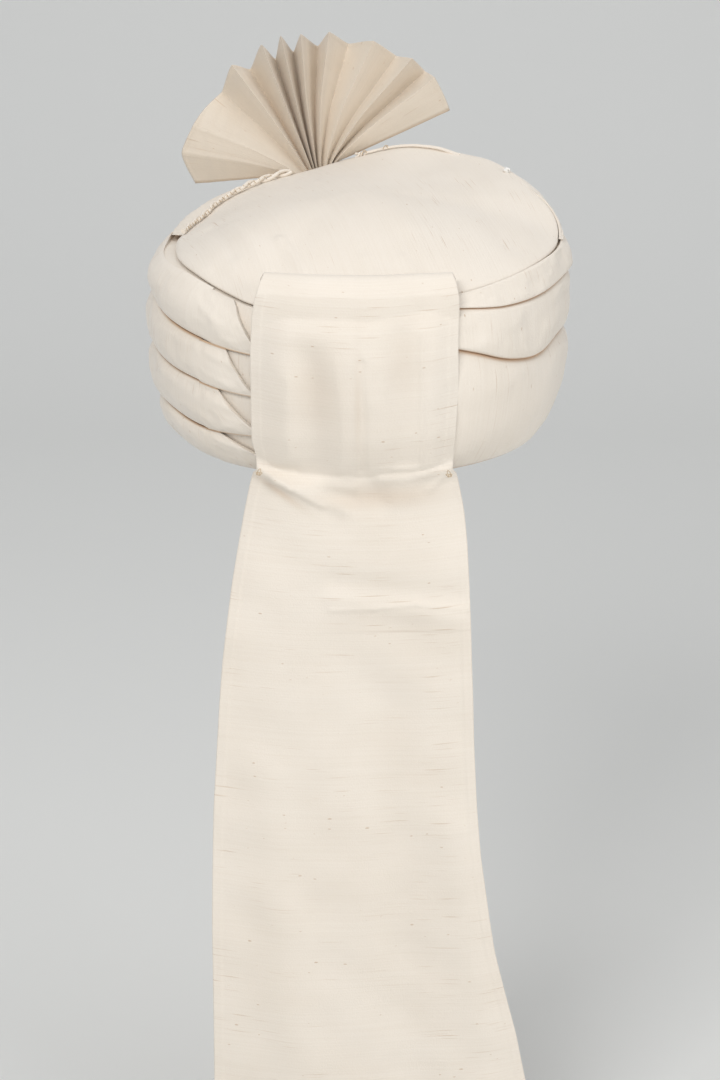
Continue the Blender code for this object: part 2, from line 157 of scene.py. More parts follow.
# The stitches beside the twist: turns, and their line's place inward and upward.
WHIP_TURNS = (TWIST_TURNS[0] + 4.0, TWIST_TURNS[1] - 1.0)
WHIP_POINTS = 120
WHIP_PLACE = (0.0019, 0.0002)
# Strands and stitches as the node trees make them.
STRAND_NOISE = 260.0
STRAND_SIDES = 10
STITCH_SIDES = 6
STITCH_JITTER = 0.15
STITCH_SLANT = 0.9

# The fan: the middle of its pleats, its turns on the ridge, its radii, lean and pleats.
FAN_ACROSS = -0.227 * BODY_HALF_WIDTH
FAN_FORWARD = 0.771 * BODY_HALF_DEPTH
FAN_BASE = 0.870 * RIDGE_HEIGHT
FAN_FOOT_TURNS = (202.0, 186.0)
FAN_RADIUS = 0.096
FAN_HUB = 0.0150
FAN_GATHER = 0.050
FAN_LEAN = 25.0
FAN_CURL = 0.003
FAN_PLEAT_AT_HUB = 0.16
FAN_DEEPER = 0.65
FAN_DEEPEST_AT = 106.0
FAN_DEEP_SPREAD = 24.0
FAN_TIP_ROUND = 0.14
# How dark the painted shade is in its recesses, in the creases beside its ribs and on its left side, and
# how dark its raw edges are.
FAN_SIDE_SHADE = 0.16
FAN_CREASE_SHADE = 0.55
FAN_RAW_EDGE = 0.6
FAN_LEAST_DARK = 0.25
FAN_RECESS_FADE = 0.7
FAN_CREASE_FADE = 0.6
FAN_SIDE_FROM = 135.0
FAN_SIDE_SPREAD = 30.0
# Its ribs, its thicker rim, its foot and its grid.
FAN_RIB = 0.0008
FAN_RIB_WIDTH = 0.11
FAN_RIM = 0.7
FAN_RIM_FROM = 0.965
FAN_RIM_STEP = 0.02
FAN_RIPPLE = 0.0004
FAN_OPENING = 0.8
FAN_SEAT = 0.0022
FAN_RINGS = 70
FAN_FACETS = 12

# The panel and the tail: sizes, shares of its seat on the body, and its grid.
TAIL_DROP = 0.395
PANEL_WIDTH = 0.114
PANEL_PUFF = 0.0032
PANEL_PRESS = 0.0002
PANEL_EDGE_FROM = 0.32
PANEL_EDGE_TO = 0.50
PANEL_DENT = 0.95
PANEL_TOP = 0.752 * RIDGE_HEIGHT
PANEL_FOOT = 0.924
FOLD_TILT = 160.0
FOLD_SETBACK = 0.995
TAIL_FLAT_BELOW = 0.25
TAIL_FLATNESS = 0.9
TAIL_COLUMNS = 112
PANEL_ROWS = 92
KNEE_DROP = 0.100
KNEE_ROWS = 96
DROP_ROWS = 124
FOLD_ROWS = 26
TAIL_SOFT = 0.02
EDGE_SOFT = 0.015
HANG_FROM = 0.05
HEM_STEP = 0.0010
FOOT_HEM_STEP = 0.0012

# How tables are softened: distances, and the steps and weights of the average.
SOFT_TURN = 5.0
SOFT_SHARE = 0.05
SOFT_TAPS = ((-1.0, 0.10), (-0.5, 0.24), (0.0, 0.32), (0.5, 0.24), (1.0, 0.10))

# Heights of the edges of the wraps: turn, share of RIDGE_HEIGHT.
SEAM_HEIGHT = (
    (-42, .705), (-34, .660), (-27, .635), (0, .650), (20, .672), (27, .682), (35, .696),
    (44, .710), (52, .724), (62, .738), (80, .758), (95, .765), (120, .758), (150, .750),
    (180, .744), (210, .738), (240, .728), (262, .722), (275, .722), (290, .722), (303, .718),
    (311, .709), (319, .686), (326, .664), (333, .636), (360, .650), (378, .670), (400, .700),
)
FIRST_EDGE = (
    (19, .638), (30, .624), (37, .613), (48, .615), (55, .622), (62, .635), (69, .648), (90, .638),
    (120, .625), (150, .605), (180, .590), (210, .575), (240, .562), (270, .553), (289, .550),
    (299, .524), (306, .508), (316, .486), (326, .467), (335, .454), (400, .454),
)
SECOND_EDGE = (
    (19, .500), (24, .483), (31, .452), (37, .416), (45, .395), (51, .386), (58, .397), (64, .424),
    (80, .420), (90, .410), (130, .400), (180, .382), (230, .356), (270, .340), (298, .345),
    (305, .336), (317, .322), (323, .307), (334, .296), (400, .296),
)
THIRD_EDGE = (
    (98, -.017), (112, .016), (140, .080), (165, .122), (200, .152), (240, .160), (270, .154),
    (291, .150), (301, .148), (308, .136), (318, .126), (328, .131), (335, .139), (400, .139),
)
# Height of the crown's edge where it rises to the ridge: turn, share of RIDGE_HEIGHT.
CROWN_EDGE = (
    (60, .735), (75, .752), (82.5, .768), (90, .805), (97.5, .855), (105, .887), (112.5, .915),
    (120, .932), (135, .965), (142.5, .966), (150, .973), (157.5, .981), (165, .979),
    (172.5, .959), (180, .931), (187.5, .907), (195, .878), (202.5, .861), (210, .847),
    (217.5, .827), (232.5, .789), (247.5, .749), (262.5, .732), (270, .728), (277.5, .722),
    (292.5, .722),
)
# How far out the crown's edge is: turn, share of the body's radius.
CROWN_REACH = (
    (0, .895), (45, .91), (60, .925), (75, .945), (90, .945), (97.5, .905), (105, .86),
    (112.5, .825), (120, .81), (135, .80), (247.5, .80), (262.5, .83), (270, .85), (285, .855),
    (300, .875), (315, .89), (330, .895), (360, .895),
)
# How far out the foot of the front band is: turn, share of the body's radius.
BAND_REACH = ((90, .935), (225, .93), (245, .905), (263, .875))
# Shoulder that the body keeps up to the seam: turn, share added to its radius there.
SHOULDER = (
    (-60, .02), (0, .0), (40, .01), (62, .03), (80, .05), (100, .05), (130, .01), (250, .01),
    (275, .02), (300, .02), (335, .01), (360, .0), (400, .01),
)
# Profile of the body: share of the height of the seam, share of the body's radius.
PROFILE = (
    (-.1, .84), (-.03, .87), (0, .89), (.06, .92), (.12, .945), (.25, .98), (.45, 1.0), (.7, 1.0),
    (.86, .98), (1.0, .925), (1.1, .90),
)
# Soft dents of the crown's cloth: start x, start y, end x, end y as shares of BODY_HALF_DEPTH, height
# and half width in metres.
CROWN_CREASES = (
    (-.521, -.186, -.357, -.660, .0007, .0035), (-.310, -.466, -.205, -.704, .0009, .0030),
    (-.568, -.582, -.481, -.745, -.0007, .0030), (.033, -.636, .052, -.725, .0004, .0022),
    (.180, -.637, .203, -.714, .0004, .0022), (-.62, -.10, -.50, -.52, -.0006, .0040),
    (-.10, .30, .20, -.40, .0005, .0120), (.45, .20, .62, -.40, -.0005, .0110),
)
# Where the left ends of the wraps are turned under: turn at the top, turn at the bottom, curve.
TONGUES = ((327.6, 336.5, 1.25), (326.8, 336.5, 0.72), (324.2, 338.0, 0.85), (322.9, 346.0, 0.90))
# How the wraps meet: turn, share of the crease's depth, power of the rounding toward it, and how far
# below the seam the topmost wrap's lip is, in metres.
ROLL_MEET = (
    (19, .50, 7.0, .0001), (60, .50, 7.0, .0001), (90, .62, 5.5, .0006), (110, .80, 4.5, .0015),
    (150, 1.0, 3.8, .0015), (250, 1.0, 3.6, .0010), (262, 1.0, 3.6, .0002), (274, 1.0, 3.6, .0020),
)
# Long folds of the wraps: share of the way up, height in metres, half width as a share, turns per wave.
WRAP_FOLDS = ((.30, .0003, .12, 63.0), (.58, -.0004, .10, 81.0), (.76, .0003, .08, 47.0))
# Fold line or hollow of the fan: angle, share of FAN_RADIUS, side (1 near, -1 far).
FAN_FOLDS = (
    (183.8, .766, -1), (172.6, .860, .3), (160.2, .820, 1), (137.0, .815, -1), (127.6, .860, 1),
    (119.6, .831, -1), (112.2, .876, 1), (107.2, .829, -1), (103.3, .892, 1), (98.6, .851, -1),
    (94.8, .885, 1), (87.8, .878, -1), (83.0, .912, 1), (75.0, .920, -1), (64.6, .935, 1),
    (55.4, .974, -1), (48.1, .978, 1), (43.1, 1.02, -1), (36.9, 1.0, 1), (25.6, 1.0, -.6),
)
# Edges of the tail: height as a share of TAIL_DROP below the rim and of PANEL_TOP above it, left and
# right as shares of PANEL_WIDTH.
TAIL_EDGES = (
    (-1.0, -.754, .912), (-.954, -.750, .880), (-.884, -.748, .833), (-.815, -.746, .772),
    (-.742, -.746, .711), (-.681, -.744, .678), (-.582, -.735, .630), (-.504, -.725, .606),
    (-.408, -.702, .588), (-.334, -.684, .579), (-.278, -.667, .570), (-.215, -.640, .562),
    (-.159, -.614, .553), (-.101, -.579, .542), (-.056, -.550, .526), (-.013, -.518, .496),
    (.021, -.486, .466), (.106, -.492, .472), (.162, -.508, .474), (.296, -.509, .482),
    (.465, -.509, .490), (.642, -.509, .484), (.811, -.500, .488), (.902, -.484, .488),
    (.962, -.462, .474), (1.001, -.440, .456), (1.23, -.440, .456),
)
# The fold over the top of the panel: share of PANEL_TOP, share of the body's depth there.
PANEL_FOLD = (
    (.945, .850), (.980, .862), (1.0, .885), (1.0, .915), (.975, .945), (.930, .972),
)
# The panel and tail below the fold: height as in TAIL_EDGES, share of the body's depth.
TAIL_DEPTH = (
    (-1.0, .915), (-.5, .925), (-.1, .930), (-.03, .915), (.0, .905), (.176, .940), (.353, .965),
    (.705, .970), (.881, .965), (.952, .955),
)
# Creases of the tail: start x, start z, end x, end z, height, half width, all shares of PANEL_WIDTH.
TAIL_CREASES = (
    (-.49, .02, -.06, -.16, .025, .040), (-.40, -.03, -.02, -.06, .014, .035),
    (.46, .02, .12, .00, .026, .044), (.10, -.12, -.12, -.10, -.035, .075),
    (-.04, .62, -.03, .03, .014, .044), (-.26, .62, -.25, .05, -.014, .105),
    (.30, .82, .30, .05, -.013, .061), (-.12, -.62, .50, -.72, .011, .053),
    (-.10, -.54, .50, -.62, -.016, .070), (-.45, -1.6, -.30, -3.4, .026, .140),
    (.12, -1.2, .30, -3.4, -.031, .175), (.52, -1.9, .72, -3.4, .026, .123),
    (-.48, .03, -.33, -.06, .012, .022), (-.33, -.06, -.16, -.15, .010, .018),
    (-.46, .03, -.30, .03, -.008, .020), (.45, .03, .30, .01, .010, .022),
    (.45, .01, .36, -.07, .008, .022), (.46, .06, .40, .20, -.005, .025),
    (-.13, -.680, .08, -.672, .006, .014), (.08, -.672, .30, -.650, .007, .012),
    (.30, -.650, .55, -.683, .006, .012), (.020, .60, .025, .04, -.016, .022),
    (-.045, .60, -.035, .05, .016, .022), (.31, .74, .32, .06, .008, .014),
    (-.22, .58, -.18, .08, -.024, .085), (-.33, .50, -.34, .12, .006, .040),
    (.21, .72, .22, .10, -.022, .065), (.10, .52, .12, .20, .006, .035),
)
# Where the tail's folds are deep: place, half sizes, slope and strength of their shade.
TAIL_SHADES = (
    (.016, -.012, .038, .008, .06, .46), (-.044, -.0095, .014, .0032, -.62, .55),
    (-.021, .052, .014, .030, 0, .26), (.025, .069, .010, .024, 0, .20),
    (.0005, .043, .0022, .034, 0, .22), (0, .045, .044, .036, 0, .10), (.020, -.083, .040, .006, 0, .16),
    (.030, -.0905, .038, .0006, .02, .45),
)
# The crown's whole edge: the seam, and the rise to the ridge in its place where that is given.
CROWN_LINE = (
    tuple(row for row in SEAM_HEIGHT if row[0] < CROWN_EDGE[0][0])
    + CROWN_EDGE
    + tuple(row for row in SEAM_HEIGHT if row[0] > CROWN_EDGE[-1][0])
)
# Soft random waves of the cloth: shares of the first and second place that count, seed, length.
WAVES = {
    "crown": (1.0, 0.45, 4, 0.06),
    "wrap": (0.5, 1.0, 0, 0.030),
    "fan": (0.7, 1.0, 8, 0.03),
    "tail": (1.0, 0.7, 11, 0.11),
    "tail_fine": (1.0, 0.8, 12, 0.035),
}
RIPPLE_WAVES = 9
WAVE_RANGE = (0.7, 1.6)
CLOTH_RIPPLE = 0.00045
HEM_ROUND = 0.0005
EDGE_ROUND = 0.4
SHARP_ANGLE = 50.0
TINY = 1e-12

# Tacks of the panel's corners: place in metres, side. Then the size and the turn of their loops.
TACKS = ((-0.0545, -0.1355, 0.0040, 1), (0.0515, -0.1355, 0.0030, -1))
TACK_POINTS = 15
TACK_SIZE = 0.0009
TACK_GROWTH = 0.0002
TACK_LONG = 1.5
TACK_WIDE = 0.6
TACK_START = 0.6
TACK_TURN = 0.9
TACK_STEP = 0.0006
TACK_BOW = 0.0004
TACK_OUT = (0.0, -1.0, 0.15)
# Crossed threads of the piping: their turns, and half a stitch's reach, skew, height and sink in metres.
CROSS_STITCH_TURNS = (177.6, 170.6)
CROSS_STITCH_STEP = 0.6
CROSS_STITCH_POINTS = 9
CROSS_STITCH = (0.0026, 0.0016, 0.0017, 0.0004)
# The knot: turn, share of the crown edge's radius, height over it, then how far a ring goes round.
KNOT = (120.5, 0.985, 0.0008)
KNOT_ROUND = 0.85 * math.tau
KNOT_POINTS = 11
KNOT_SIZE = 0.0012
KNOT_STEP = 0.0004

# The weave: its way on the crown, the dip of its rows over the tail, and shifts that part the pieces.
SLUB_BACK = (0.25, -0.97)
SMILE = 0.8
BAND_WEAVE = 7
TAIL_WEAVE = 3

# Noise of the silk: scale along and across its threads, detail, shift.
WEAVE_NOISE = {
    "dashes": (32.0, 1050.0, 1.0, 0.0),
    "crowd": (16.0, 24.0, 1.0, 3.7),
    "nubs": (230.0, 620.0, 0.0, 9.1),
    "yarn": (9.0, 1150.0, 2.0, 5.3),
    "grain": (1150.0, 950.0, 1.0, 1.9),
    "cloud": (22.0, 22.0, 2.0, 7.7),
}
# Where the noise of the thick threads, and of the tone, starts and is full.
SLUB_LIMITS = {"dashes": (0.66, 0.78), "crowd": (0.42, 0.62), "nubs": (0.83, 0.87)}
TONE_LIMITS = (0.3, 0.7)
# How much each noise gives to the tone and to the relief.
TONE_PARTS = {"cloud": 0.45, "yarn": 0.4, "grain": 0.25}
RELIEF_PARTS = {"slubs": 0.6, "yarn": 0.5, "grain": 0.6}
SILK_SHEEN = (("Sheen Roughness", 0.45), ("Specular IOR Level", 0.35))
BUMP_STRENGTH = 0.55
THREAD_ROUGHNESS = 0.6

CAMERA_PLACE = (0.0018, -1.488, 0.405)
CAMERA_TILT = 72.0
LENS = 85.0
NEAREST_SEEN = 0.05
# The backdrop: near end, start of its bend, radius of the bend, height, half width.
BACKDROP = (-3.0, 1.6, 1.1, 3.4, 4.0)
BACKDROP_STEPS = 16
# Distance along the backdrop over which its painted light grows from the floor colour to the wall
# colour.
BACKDROP_LIGHT_FROM = 2.3
BACKDROP_ROUGHNESS = 0.9
# Area lights: name, place, size. They point at LIT_PLACE.
LIGHTS = (
    ("key", (-0.8, -1.8, 1.5), 1.0),
    ("fill", (1.7, -1.5, 0.5), 1.4),
    ("top", (0.1, 0.3, 2.1), 1.8),
)
LIT_PLACE = (0.0, 0.0, 0.02)
SKY_COLOR = (0.95, 0.97, 1.0, 1.0)


def column(table, at, which=1, soft=0.0):
    """A column of a table, read at values of its first column and softened over a distance."""
    rows = np.array(table, float)
    at = np.asarray(at, float)
    if soft == 0.0:
        return np.interp(at, rows[:, 0], rows[:, which])
    return sum(w * np.interp(at + o * soft, rows[:, 0], rows[:, which]) for o, w in SOFT_TAPS)


def eased(value):
    """A smooth step from 0 to 1 over values from 0 to 1."""
    value = np.clip(value, 0.0, 1.0)
    return value * value * (3 - 2 * value)


def plan(turn, half_width, half_depth):
    """Radius of a rounded oblong at a turn."""
    across = np.abs(np.sin(np.radians(turn))) / half_width
    along = np.abs(np.cos(np.radians(turn))) / half_depth
    return (across**PLAN_POWER + along**PLAN_POWER) ** (-1 / PLAN_POWER)


def places(turn, radius, height):
    """Points at turns, radii and heights."""
    angle = np.radians(turn)
    parts = np.broadcast_arrays(radius * np.sin(angle), -radius * np.cos(angle), height)
    return np.stack(parts, axis=-1)


def ripple(kind, u, v, shift=0):
    """Smooth random relief of about -1 to 1 on a surface."""
    share_u, share_v, seed, wave = WAVES[kind]
    chance = np.random.default_rng(seed + shift)
    total = 0.0
    for _ in range(RIPPLE_WAVES):
        way = chance.uniform(0.0, math.tau)
        length = wave * chance.uniform(*WAVE_RANGE)
        along = u * share_u * math.cos(way) + v * share_v * math.sin(way)
        total = total + np.sin(math.tau * along / length + chance.uniform(0.0, math.tau))
    return total / math.sqrt(RIPPLE_WAVES)


def seam_height(turn):
    """Height of the top of the body, where the crown or the front band starts."""
    return RIDGE_HEIGHT * column(SEAM_HEIGHT, turn, soft=SOFT_TURN)


def body_radius(turn, height):
    """Outermost radius of the body at a turn and height."""
    rise = height / seam_height(turn)
    shoulder = eased((rise - SHOULDER_FROM) / SHOULDER_RISE)
    share = column(PROFILE, rise, soft=SOFT_SHARE) + column(SHOULDER, turn, soft=SOFT_TURN) * shoulder
    wave = np.radians(turn)
    few, many = SWELLS_ROUND
    swell = np.sin(few * wave + 1) + np.sin(many * wave + SWELL_TILT * height / RIDGE_HEIGHT)
    return plan(turn, BODY_HALF_WIDTH, BODY_HALF_DEPTH) * share - SWELL * (1 - swell / 2)


def cap_radius(turn):
    """Outer radius of the wall of the cap."""
    return plan(turn, HEAD_HALF_WIDTH, HEAD_HALF_DEPTH) + CAP_WALL


def crown_edge(turn):
    """Radius and height of the crown's edge."""
    radius = plan(turn, BODY_HALF_WIDTH, BODY_HALF_DEPTH) * column(CROWN_REACH, turn, soft=SOFT_TURN)
    return radius, RIDGE_HEIGHT * column(CROWN_LINE, turn, soft=SOFT_TURN)


def crown_height(turn, radius):
    """Height of the crown's upper face at a turn and radius."""
    edge_radius, edge_height = crown_edge(turn)
    share = (radius / edge_radius) ** CROWN_POWER
    return CROWN_MIDDLE + (edge_height - CROWN_MIDDLE) * share


def crease_lift(across, along, creases, unit, size_unit):
    """Relief that straight creases make on a surface: soft ridges and hollows."""
    lift = np.zeros(np.broadcast(across, along).shape)
    for x0, y0, x1, y1, size, width in creases:
        step = np.array((x1 - x0, y1 - y0)) * unit
        dx = across - x0 * unit
        dy = along - y0 * unit
        share = np.clip((dx * step[0] + dy * step[1]) / float(step @ step), 0.0, 1.0)
        off = (dx - step[0] * share) ** 2 + (dy - step[1] * share) ** 2
        lift += size * size_unit * np.exp(-off / (width * size_unit) ** 2)
    return lift


def steps_along(grid, axis):
    """Arc length along an axis of a grid of points, averaged over the other."""
    step = np.linalg.norm(np.diff(grid, axis=axis), axis=-1).mean(axis=1 - axis)
    return np.concatenate([[0.0], np.cumsum(step)])


def grid_weave(outer, shift=0):
    """Weave coordinates in metres along both ways of a grid of points."""
    along, up = steps_along(outer, 0)[:, None], steps_along(outer, 1)[None, :]
    return np.stack(np.broadcast_arrays(up, along), axis=-1) + shift


def quads_between(here, after):
    """The faces between rows of point numbers and the rows after them."""
    return np.stack([here[:, :-1], here[:, 1:], after[:, 1:], after[:, :-1]], -1).reshape(-1, 4)


def set_weave(mesh, weave):
    """Gives a mesh its weave coordinates, one pair for each point."""
    owner = np.empty(len(mesh.loops), dtype=np.int32)
    mesh.loops.foreach_get("vertex_index", owner)
    mesh.uv_layers.new(name="weave").data.foreach_set("uv", weave[owner].astype(np.float32).ravel())


def silk_mesh(name, points, faces, weave, shade):
    """A closed mesh with its faces outward, its weave coordinates in metres and its folds' shade."""
    mesh = bpy.data.meshes.new(name)
    mesh.from_pydata(points.tolist(), [], faces)
    mesh.validate()
    mesh.calc_loop_triangles()
    corners = np.empty(len(mesh.loop_triangles) * 3, dtype=np.int32)
    mesh.loop_triangles.foreach_get("vertices", corners)
    a, b, c = points[corners.reshape(-1, 3)].transpose(1, 0, 2)
    if float(np.einsum("ij,ij->i", a, np.cross(b, c)).sum()) < 0:
        mesh.flip_normals()
    set_weave(mesh, weave)
    folds = mesh.attributes.new("fold_shade", "FLOAT", "POINT")
    folds.data.foreach_set("value", shade.astype(np.float32))
    mesh.shade_smooth()
    mesh.set_sharp_from_angle(angle=math.radians(SHARP_ANGLE))
    piece = bpy.data.objects.new(name, mesh)
    bpy.context.scene.collection.objects.link(piece)
    return piece


def layered(name, outer, inner, weave, rounding=HEM_ROUND, shade=0.0):
    """A closed piece between two grids of points, with its border rounded over."""
    rows, columns = outer.shape[:2]
    back = rows * columns
    index = np.arange(back).reshape(rows, columns)
    quads = quads_between(index[:-1], index[1:])
    ring = [(0, j) for j in range(columns)]
    ring += [(i, columns - 1) for i in range(1, rows)]
    ring += [(rows - 1, j) for j in range(columns - 2, -1, -1)]
    ring += [(i, 0) for i in range(rows - 2, 0, -1)]
    at = np.array(ring)
    beside = np.clip(at, 1, (rows - 2, columns - 2))
    edge = outer[at[:, 0], at[:, 1]]
    away = edge - outer[beside[:, 0], beside[:, 1]]
    away /= np.linalg.norm(away, axis=1, keepdims=True) + TINY
    middle = (edge + inner[at[:, 0], at[:, 1]]) / 2 + away * rounding
    flat_weave = weave.reshape(-1, 2)
    border = index[at[:, 0], at[:, 1]]
    points = np.concatenate([outer.reshape(-1, 3), inner.reshape(-1, 3), middle])
    whole_weave = np.concatenate([flat_weave, flat_weave, flat_weave[border]])
    flat_shade = (shade + np.zeros((rows, columns))).ravel()
    whole_shade = np.concatenate([flat_shade, flat_shade, flat_shade[border]])
    after = np.roll(border, -1)
    here = 2 * back + np.arange(len(border))
    following = np.roll(here, -1)
    rim = np.concatenate([
        np.stack([after, border, here, following], -1),
        np.stack([following, here, back + border, back + after], -1),
    ])
    faces = np.concatenate([quads, back + quads[:, ::-1], rim]).tolist()
    return silk_mesh(name, points, faces, whole_weave, whole_shade)


def add(tree, kind, inputs=(), **settings):
    """A new node of a tree with its settings made, and its inputs set to values or linked to sockets."""
    node = tree.nodes.new(kind)
    for name, value in settings.items():
        setattr(node, name, value)
    for name, value in dict(inputs).items():
        if isinstance(value, bpy.types.NodeSocket):
            tree.links.new(value, node.inputs[name])
        else:
            node.inputs[name].default_value = value
    return node


def new_material(name, color, roughness):
    """A material of nodes and its shader."""
    material = bpy.data.materials.new(name)
    material.use_nodes = True
    shader = material.node_tree.nodes["Principled BSDF"]
    shader.inputs["Base Color"].default_value = color
    shader.inputs["Roughness"].default_value = roughness
    return material, shader


def silk(name=SILK_SLOT, painted_shade_tint=(1.0, 1.0, 1.0, 1.0)):
    """Ivory raw silk, made once: a fine uneven weave with stray thick threads, with painted shade in its
    folds.
    """
    look = bpy.context.scene.pagri_silk
    material = bpy.data.materials.get(name + "_cloth")
    if material is not None:
        return material
    material, shader = new_material(name + "_cloth", look.cloth_color, look.roughness)
    tree = material.node_tree
    uv = add(tree, "ShaderNodeUVMap", uv_map="weave").outputs["UV"]

    def noise(along, across, detail, shift):
        scale = {"Vector": uv, "Scale": (along, across, 1.0), "Location": (shift, shift, shift)}
        placed = add(tree, "ShaderNodeMapping", scale).outputs["Vector"]
        texture = {"Vector": placed, "Scale": 1.0, "Detail": detail}
        return add(tree, "ShaderNodeTexNoise", texture).outputs["Fac"]

    def spread(value, low, high, top=1.0):
        limits = {"Value": value, "From Min": low, "From Max": high, "To Max": top}
        return add(tree, "ShaderNodeMapRange", limits).outputs["Result"]

    def combine(operation, first, second):
        return add(tree, "ShaderNodeMath", {0: first, 1: second}, operation=operation).outputs["Value"]

    def total(parts):
        return reduce(lambda first, second: combine("ADD", first, second), parts)

    def mix(share, first, second):
        parts = {"Factor": share, "A": first, "B": second}
        return add(tree, "ShaderNodeMix", parts, data_type="RGBA").outputs["Result"]

    fields = {field: noise(*row) for field, row in WEAVE_NOISE.items()}
    dashes, crowd, nubs = (spread(fields[field], *limits) for field, limits in SLUB_LIMITS.items())
    fields["slubs"] = combine("MAXIMUM", combine("MULTIPLY", dashes, crowd), nubs)
    light = total(spread(fields[field], *TONE_LIMITS, part) for field, part in TONE_PARTS.items())
    tinted = ([a * b for a, b in zip(color, painted_shade_tint)] for color in (look.shade_color, look.cloth_color))
    tone = mix(light, *tinted)
    slubbed = mix(combine("MULTIPLY", fields["slubs"], look.slub_strength), tone, look.slub_color)
    # Painted shade: the fold_shade attribute darkens the colour toward the hollow and fold shade colours
    # in creases, recesses and deep folds.
    folds = add(tree, "ShaderNodeAttribute", attribute_name="fold_shade").outputs["Fac"]
    deep = mix(folds, look.hollow_shade_color, look.fold_shade_color)
    with_painted_shade = mix(combine("MULTIPLY", folds, look.fold_strength), slubbed, deep)
    relief = total(combine("MULTIPLY", fields[field], part) for field, part in RELIEF_PARTS.items())
    bump = {"Height": relief, "Strength": BUMP_STRENGTH, "Distance": look.weave_depth}
    tree.links.new(with_painted_shade, shader.inputs["Base Color"])
    tree.links.new(add(tree, "ShaderNodeBump", bump).outputs["Normal"], shader.inputs["Normal"])
    for socket, value in (("Sheen Weight", look.sheen), *SILK_SHEEN):
        shader.inputs[socket].default_value = value
    return material


def backdrop_material(near, far):
    """A plain pale surface with painted light: a little lighter toward its far end."""
    material, shader = new_material("pale_backdrop", near, BACKDROP_ROUGHNESS)
    tree = material.node_tree
    place = add(tree, "ShaderNodeTexCoord").outputs["Object"]
    along = add(tree, "ShaderNodeSeparateXYZ", {"Vector": place}).outputs["Y"]
    share = add(tree, "ShaderNodeMapRange", {"Value": along, "From Max": BACKDROP_LIGHT_FROM})
    tone = {"Factor": share.outputs["Result"], "A": near, "B": far}
    tone = add(tree, "ShaderNodeMix", tone, data_type="RGBA")
    tree.links.new(tone.outputs["Result"], shader.inputs["Base Color"])
    return material


def dressed(piece, node, material=None):
    """Gives a cloth piece its silk and its body, and hides the CAD node that it stands for."""
    piece.data.materials.append(material or silk())
    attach(piece, BODY)
    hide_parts(node)
    return piece


def crown_piece(settings):
    """The crown's cloth and the cap's wall, as one shell of revolved profiles."""
    turns = np.linspace(0.0, 360.0, CROWN_COLUMNS, endpoint=False)[:, None]
    edge_radius, edge_height = crown_edge(turns)
    round_over = CAP_WALL / 2
    shares = np.linspace(0.0, 1.0, CROWN_RINGS + 1)[None, 1:]
    radius = (edge_radius - round_over) * shares
    height = crown_height(turns, radius) + np.zeros_like(radius)
    place = places(turns, radius, height)
    across, back = place[..., 0], place[..., 1]
    relief = CROWN_CREASE_LIFT * crease_lift(across, back, CROWN_CREASES, BODY_HALF_DEPTH, 1.0)
    relief += settings.ripple * ripple("crown", across, back)
    fade = 1 - eased((shares - CROWN_FADE_FROM) / (1 - CROWN_FADE_FROM))
    dome = places(turns, radius, height + relief * fade)
    arc = np.radians(np.linspace(*HEM_ARC, HEM_ARC_POINTS))[None, :]
    centre = edge_radius - round_over
    hem = places(
        turns,
        centre + round_over * np.cos(arc),
        edge_height - round_over + round_over * np.sin(arc),
    )
    wall = cap_radius(turns)
    lining = wall - CAP_WALL
    shoulder = crown_height(turns, wall) - CAP_WALL
    under = [
        places(turns, wall + CAP_WALL / 2, shoulder - CAP_WALL / 2),
        places(turns, wall, shoulder - 2 * CAP_WALL),
        places(turns, wall, shoulder / 2),
        places(turns, wall, round_over),
        places(turns, (wall + lining) / 2, 0.0),
        places(turns, lining, round_over),
        places(turns, lining, shoulder / 2),
        places(turns, lining, crown_height(turns, lining) - 3 * CAP_WALL),
    ]
    inside = np.linspace(*LINING_SHARES, LINING_RINGS)[None, :]
    roof = places(turns, lining * inside, crown_height(turns, lining * inside) - LINING_DROP)
    grid = np.concatenate([dome, hem, *under, roof], axis=1)
    count = grid.shape[1]
    points = np.concatenate([
        grid.reshape(-1, 3),
        [(0.0, 0.0, CROWN_MIDDLE), (0.0, 0.0, CROWN_MIDDLE - LINING_DROP)],
    ])
    index = np.arange(CROWN_COLUMNS * count).reshape(CROWN_COLUMNS, count)
    after = np.roll(index, -1, axis=0)
    faces = quads_between(index, after).tolist()
    top = CROWN_COLUMNS * count
    faces += [(top, here, then) for here, then in zip(index[:, 0].tolist(), after[:, 0].tolist())]
    faces += [(here, top + 1, then) for here, then in zip(index[:, -1].tolist(), after[:, -1].tolist())]
    along = np.array(SLUB_BACK)
    weave = np.stack([points[:, :2] @ along, points[:, :2] @ np.array((-along[1], along[0]))], axis=-1)
    return silk_mesh("crown", points, faces, weave, np.zeros(len(points)))


def roll_surface(at, up, low, high, crease, seed):
    """Radius and height of a padded roll's outer face, with its soft folds."""
    depth = np.minimum(CREASE_SHARE * (high - low) + CREASE_LEAST, crease)
    depth = depth * column(ROLL_MEET, at, 1, soft=SOFT_TURN)
    height = low + (high - low) * up
    bulge = np.abs(2 * up - 1)
    power = column(ROLL_MEET, at, 2, soft=SOFT_TURN)
    drop = CREASE_BROAD * bulge**power + (1 - CREASE_BROAD) * bulge ** (3 * power)
    radius = body_radius(at, height) - depth * drop
    inner = eased((1 - bulge) / FOLDS_FADE)
    for k, (centre, size, width, wave) in enumerate(WRAP_FOLDS):
        bend = FOLD_BEND * np.sin(np.radians(at) * 360 / wave + seed + k)
        swell = 0.5 + 0.5 * np.sin(np.radians(at) * 360 / (wave * FOLD_SWELL) + 2 * seed + k)
        radius = radius + inner * size * swell * np.exp(-(((up - centre - bend) / width) ** 2))
    length = np.radians(at) * BODY_HALF_WIDTH
    radius = radius + inner * CLOTH_RIPPLE * ripple("wrap", length, height, seed)
    return radius, height


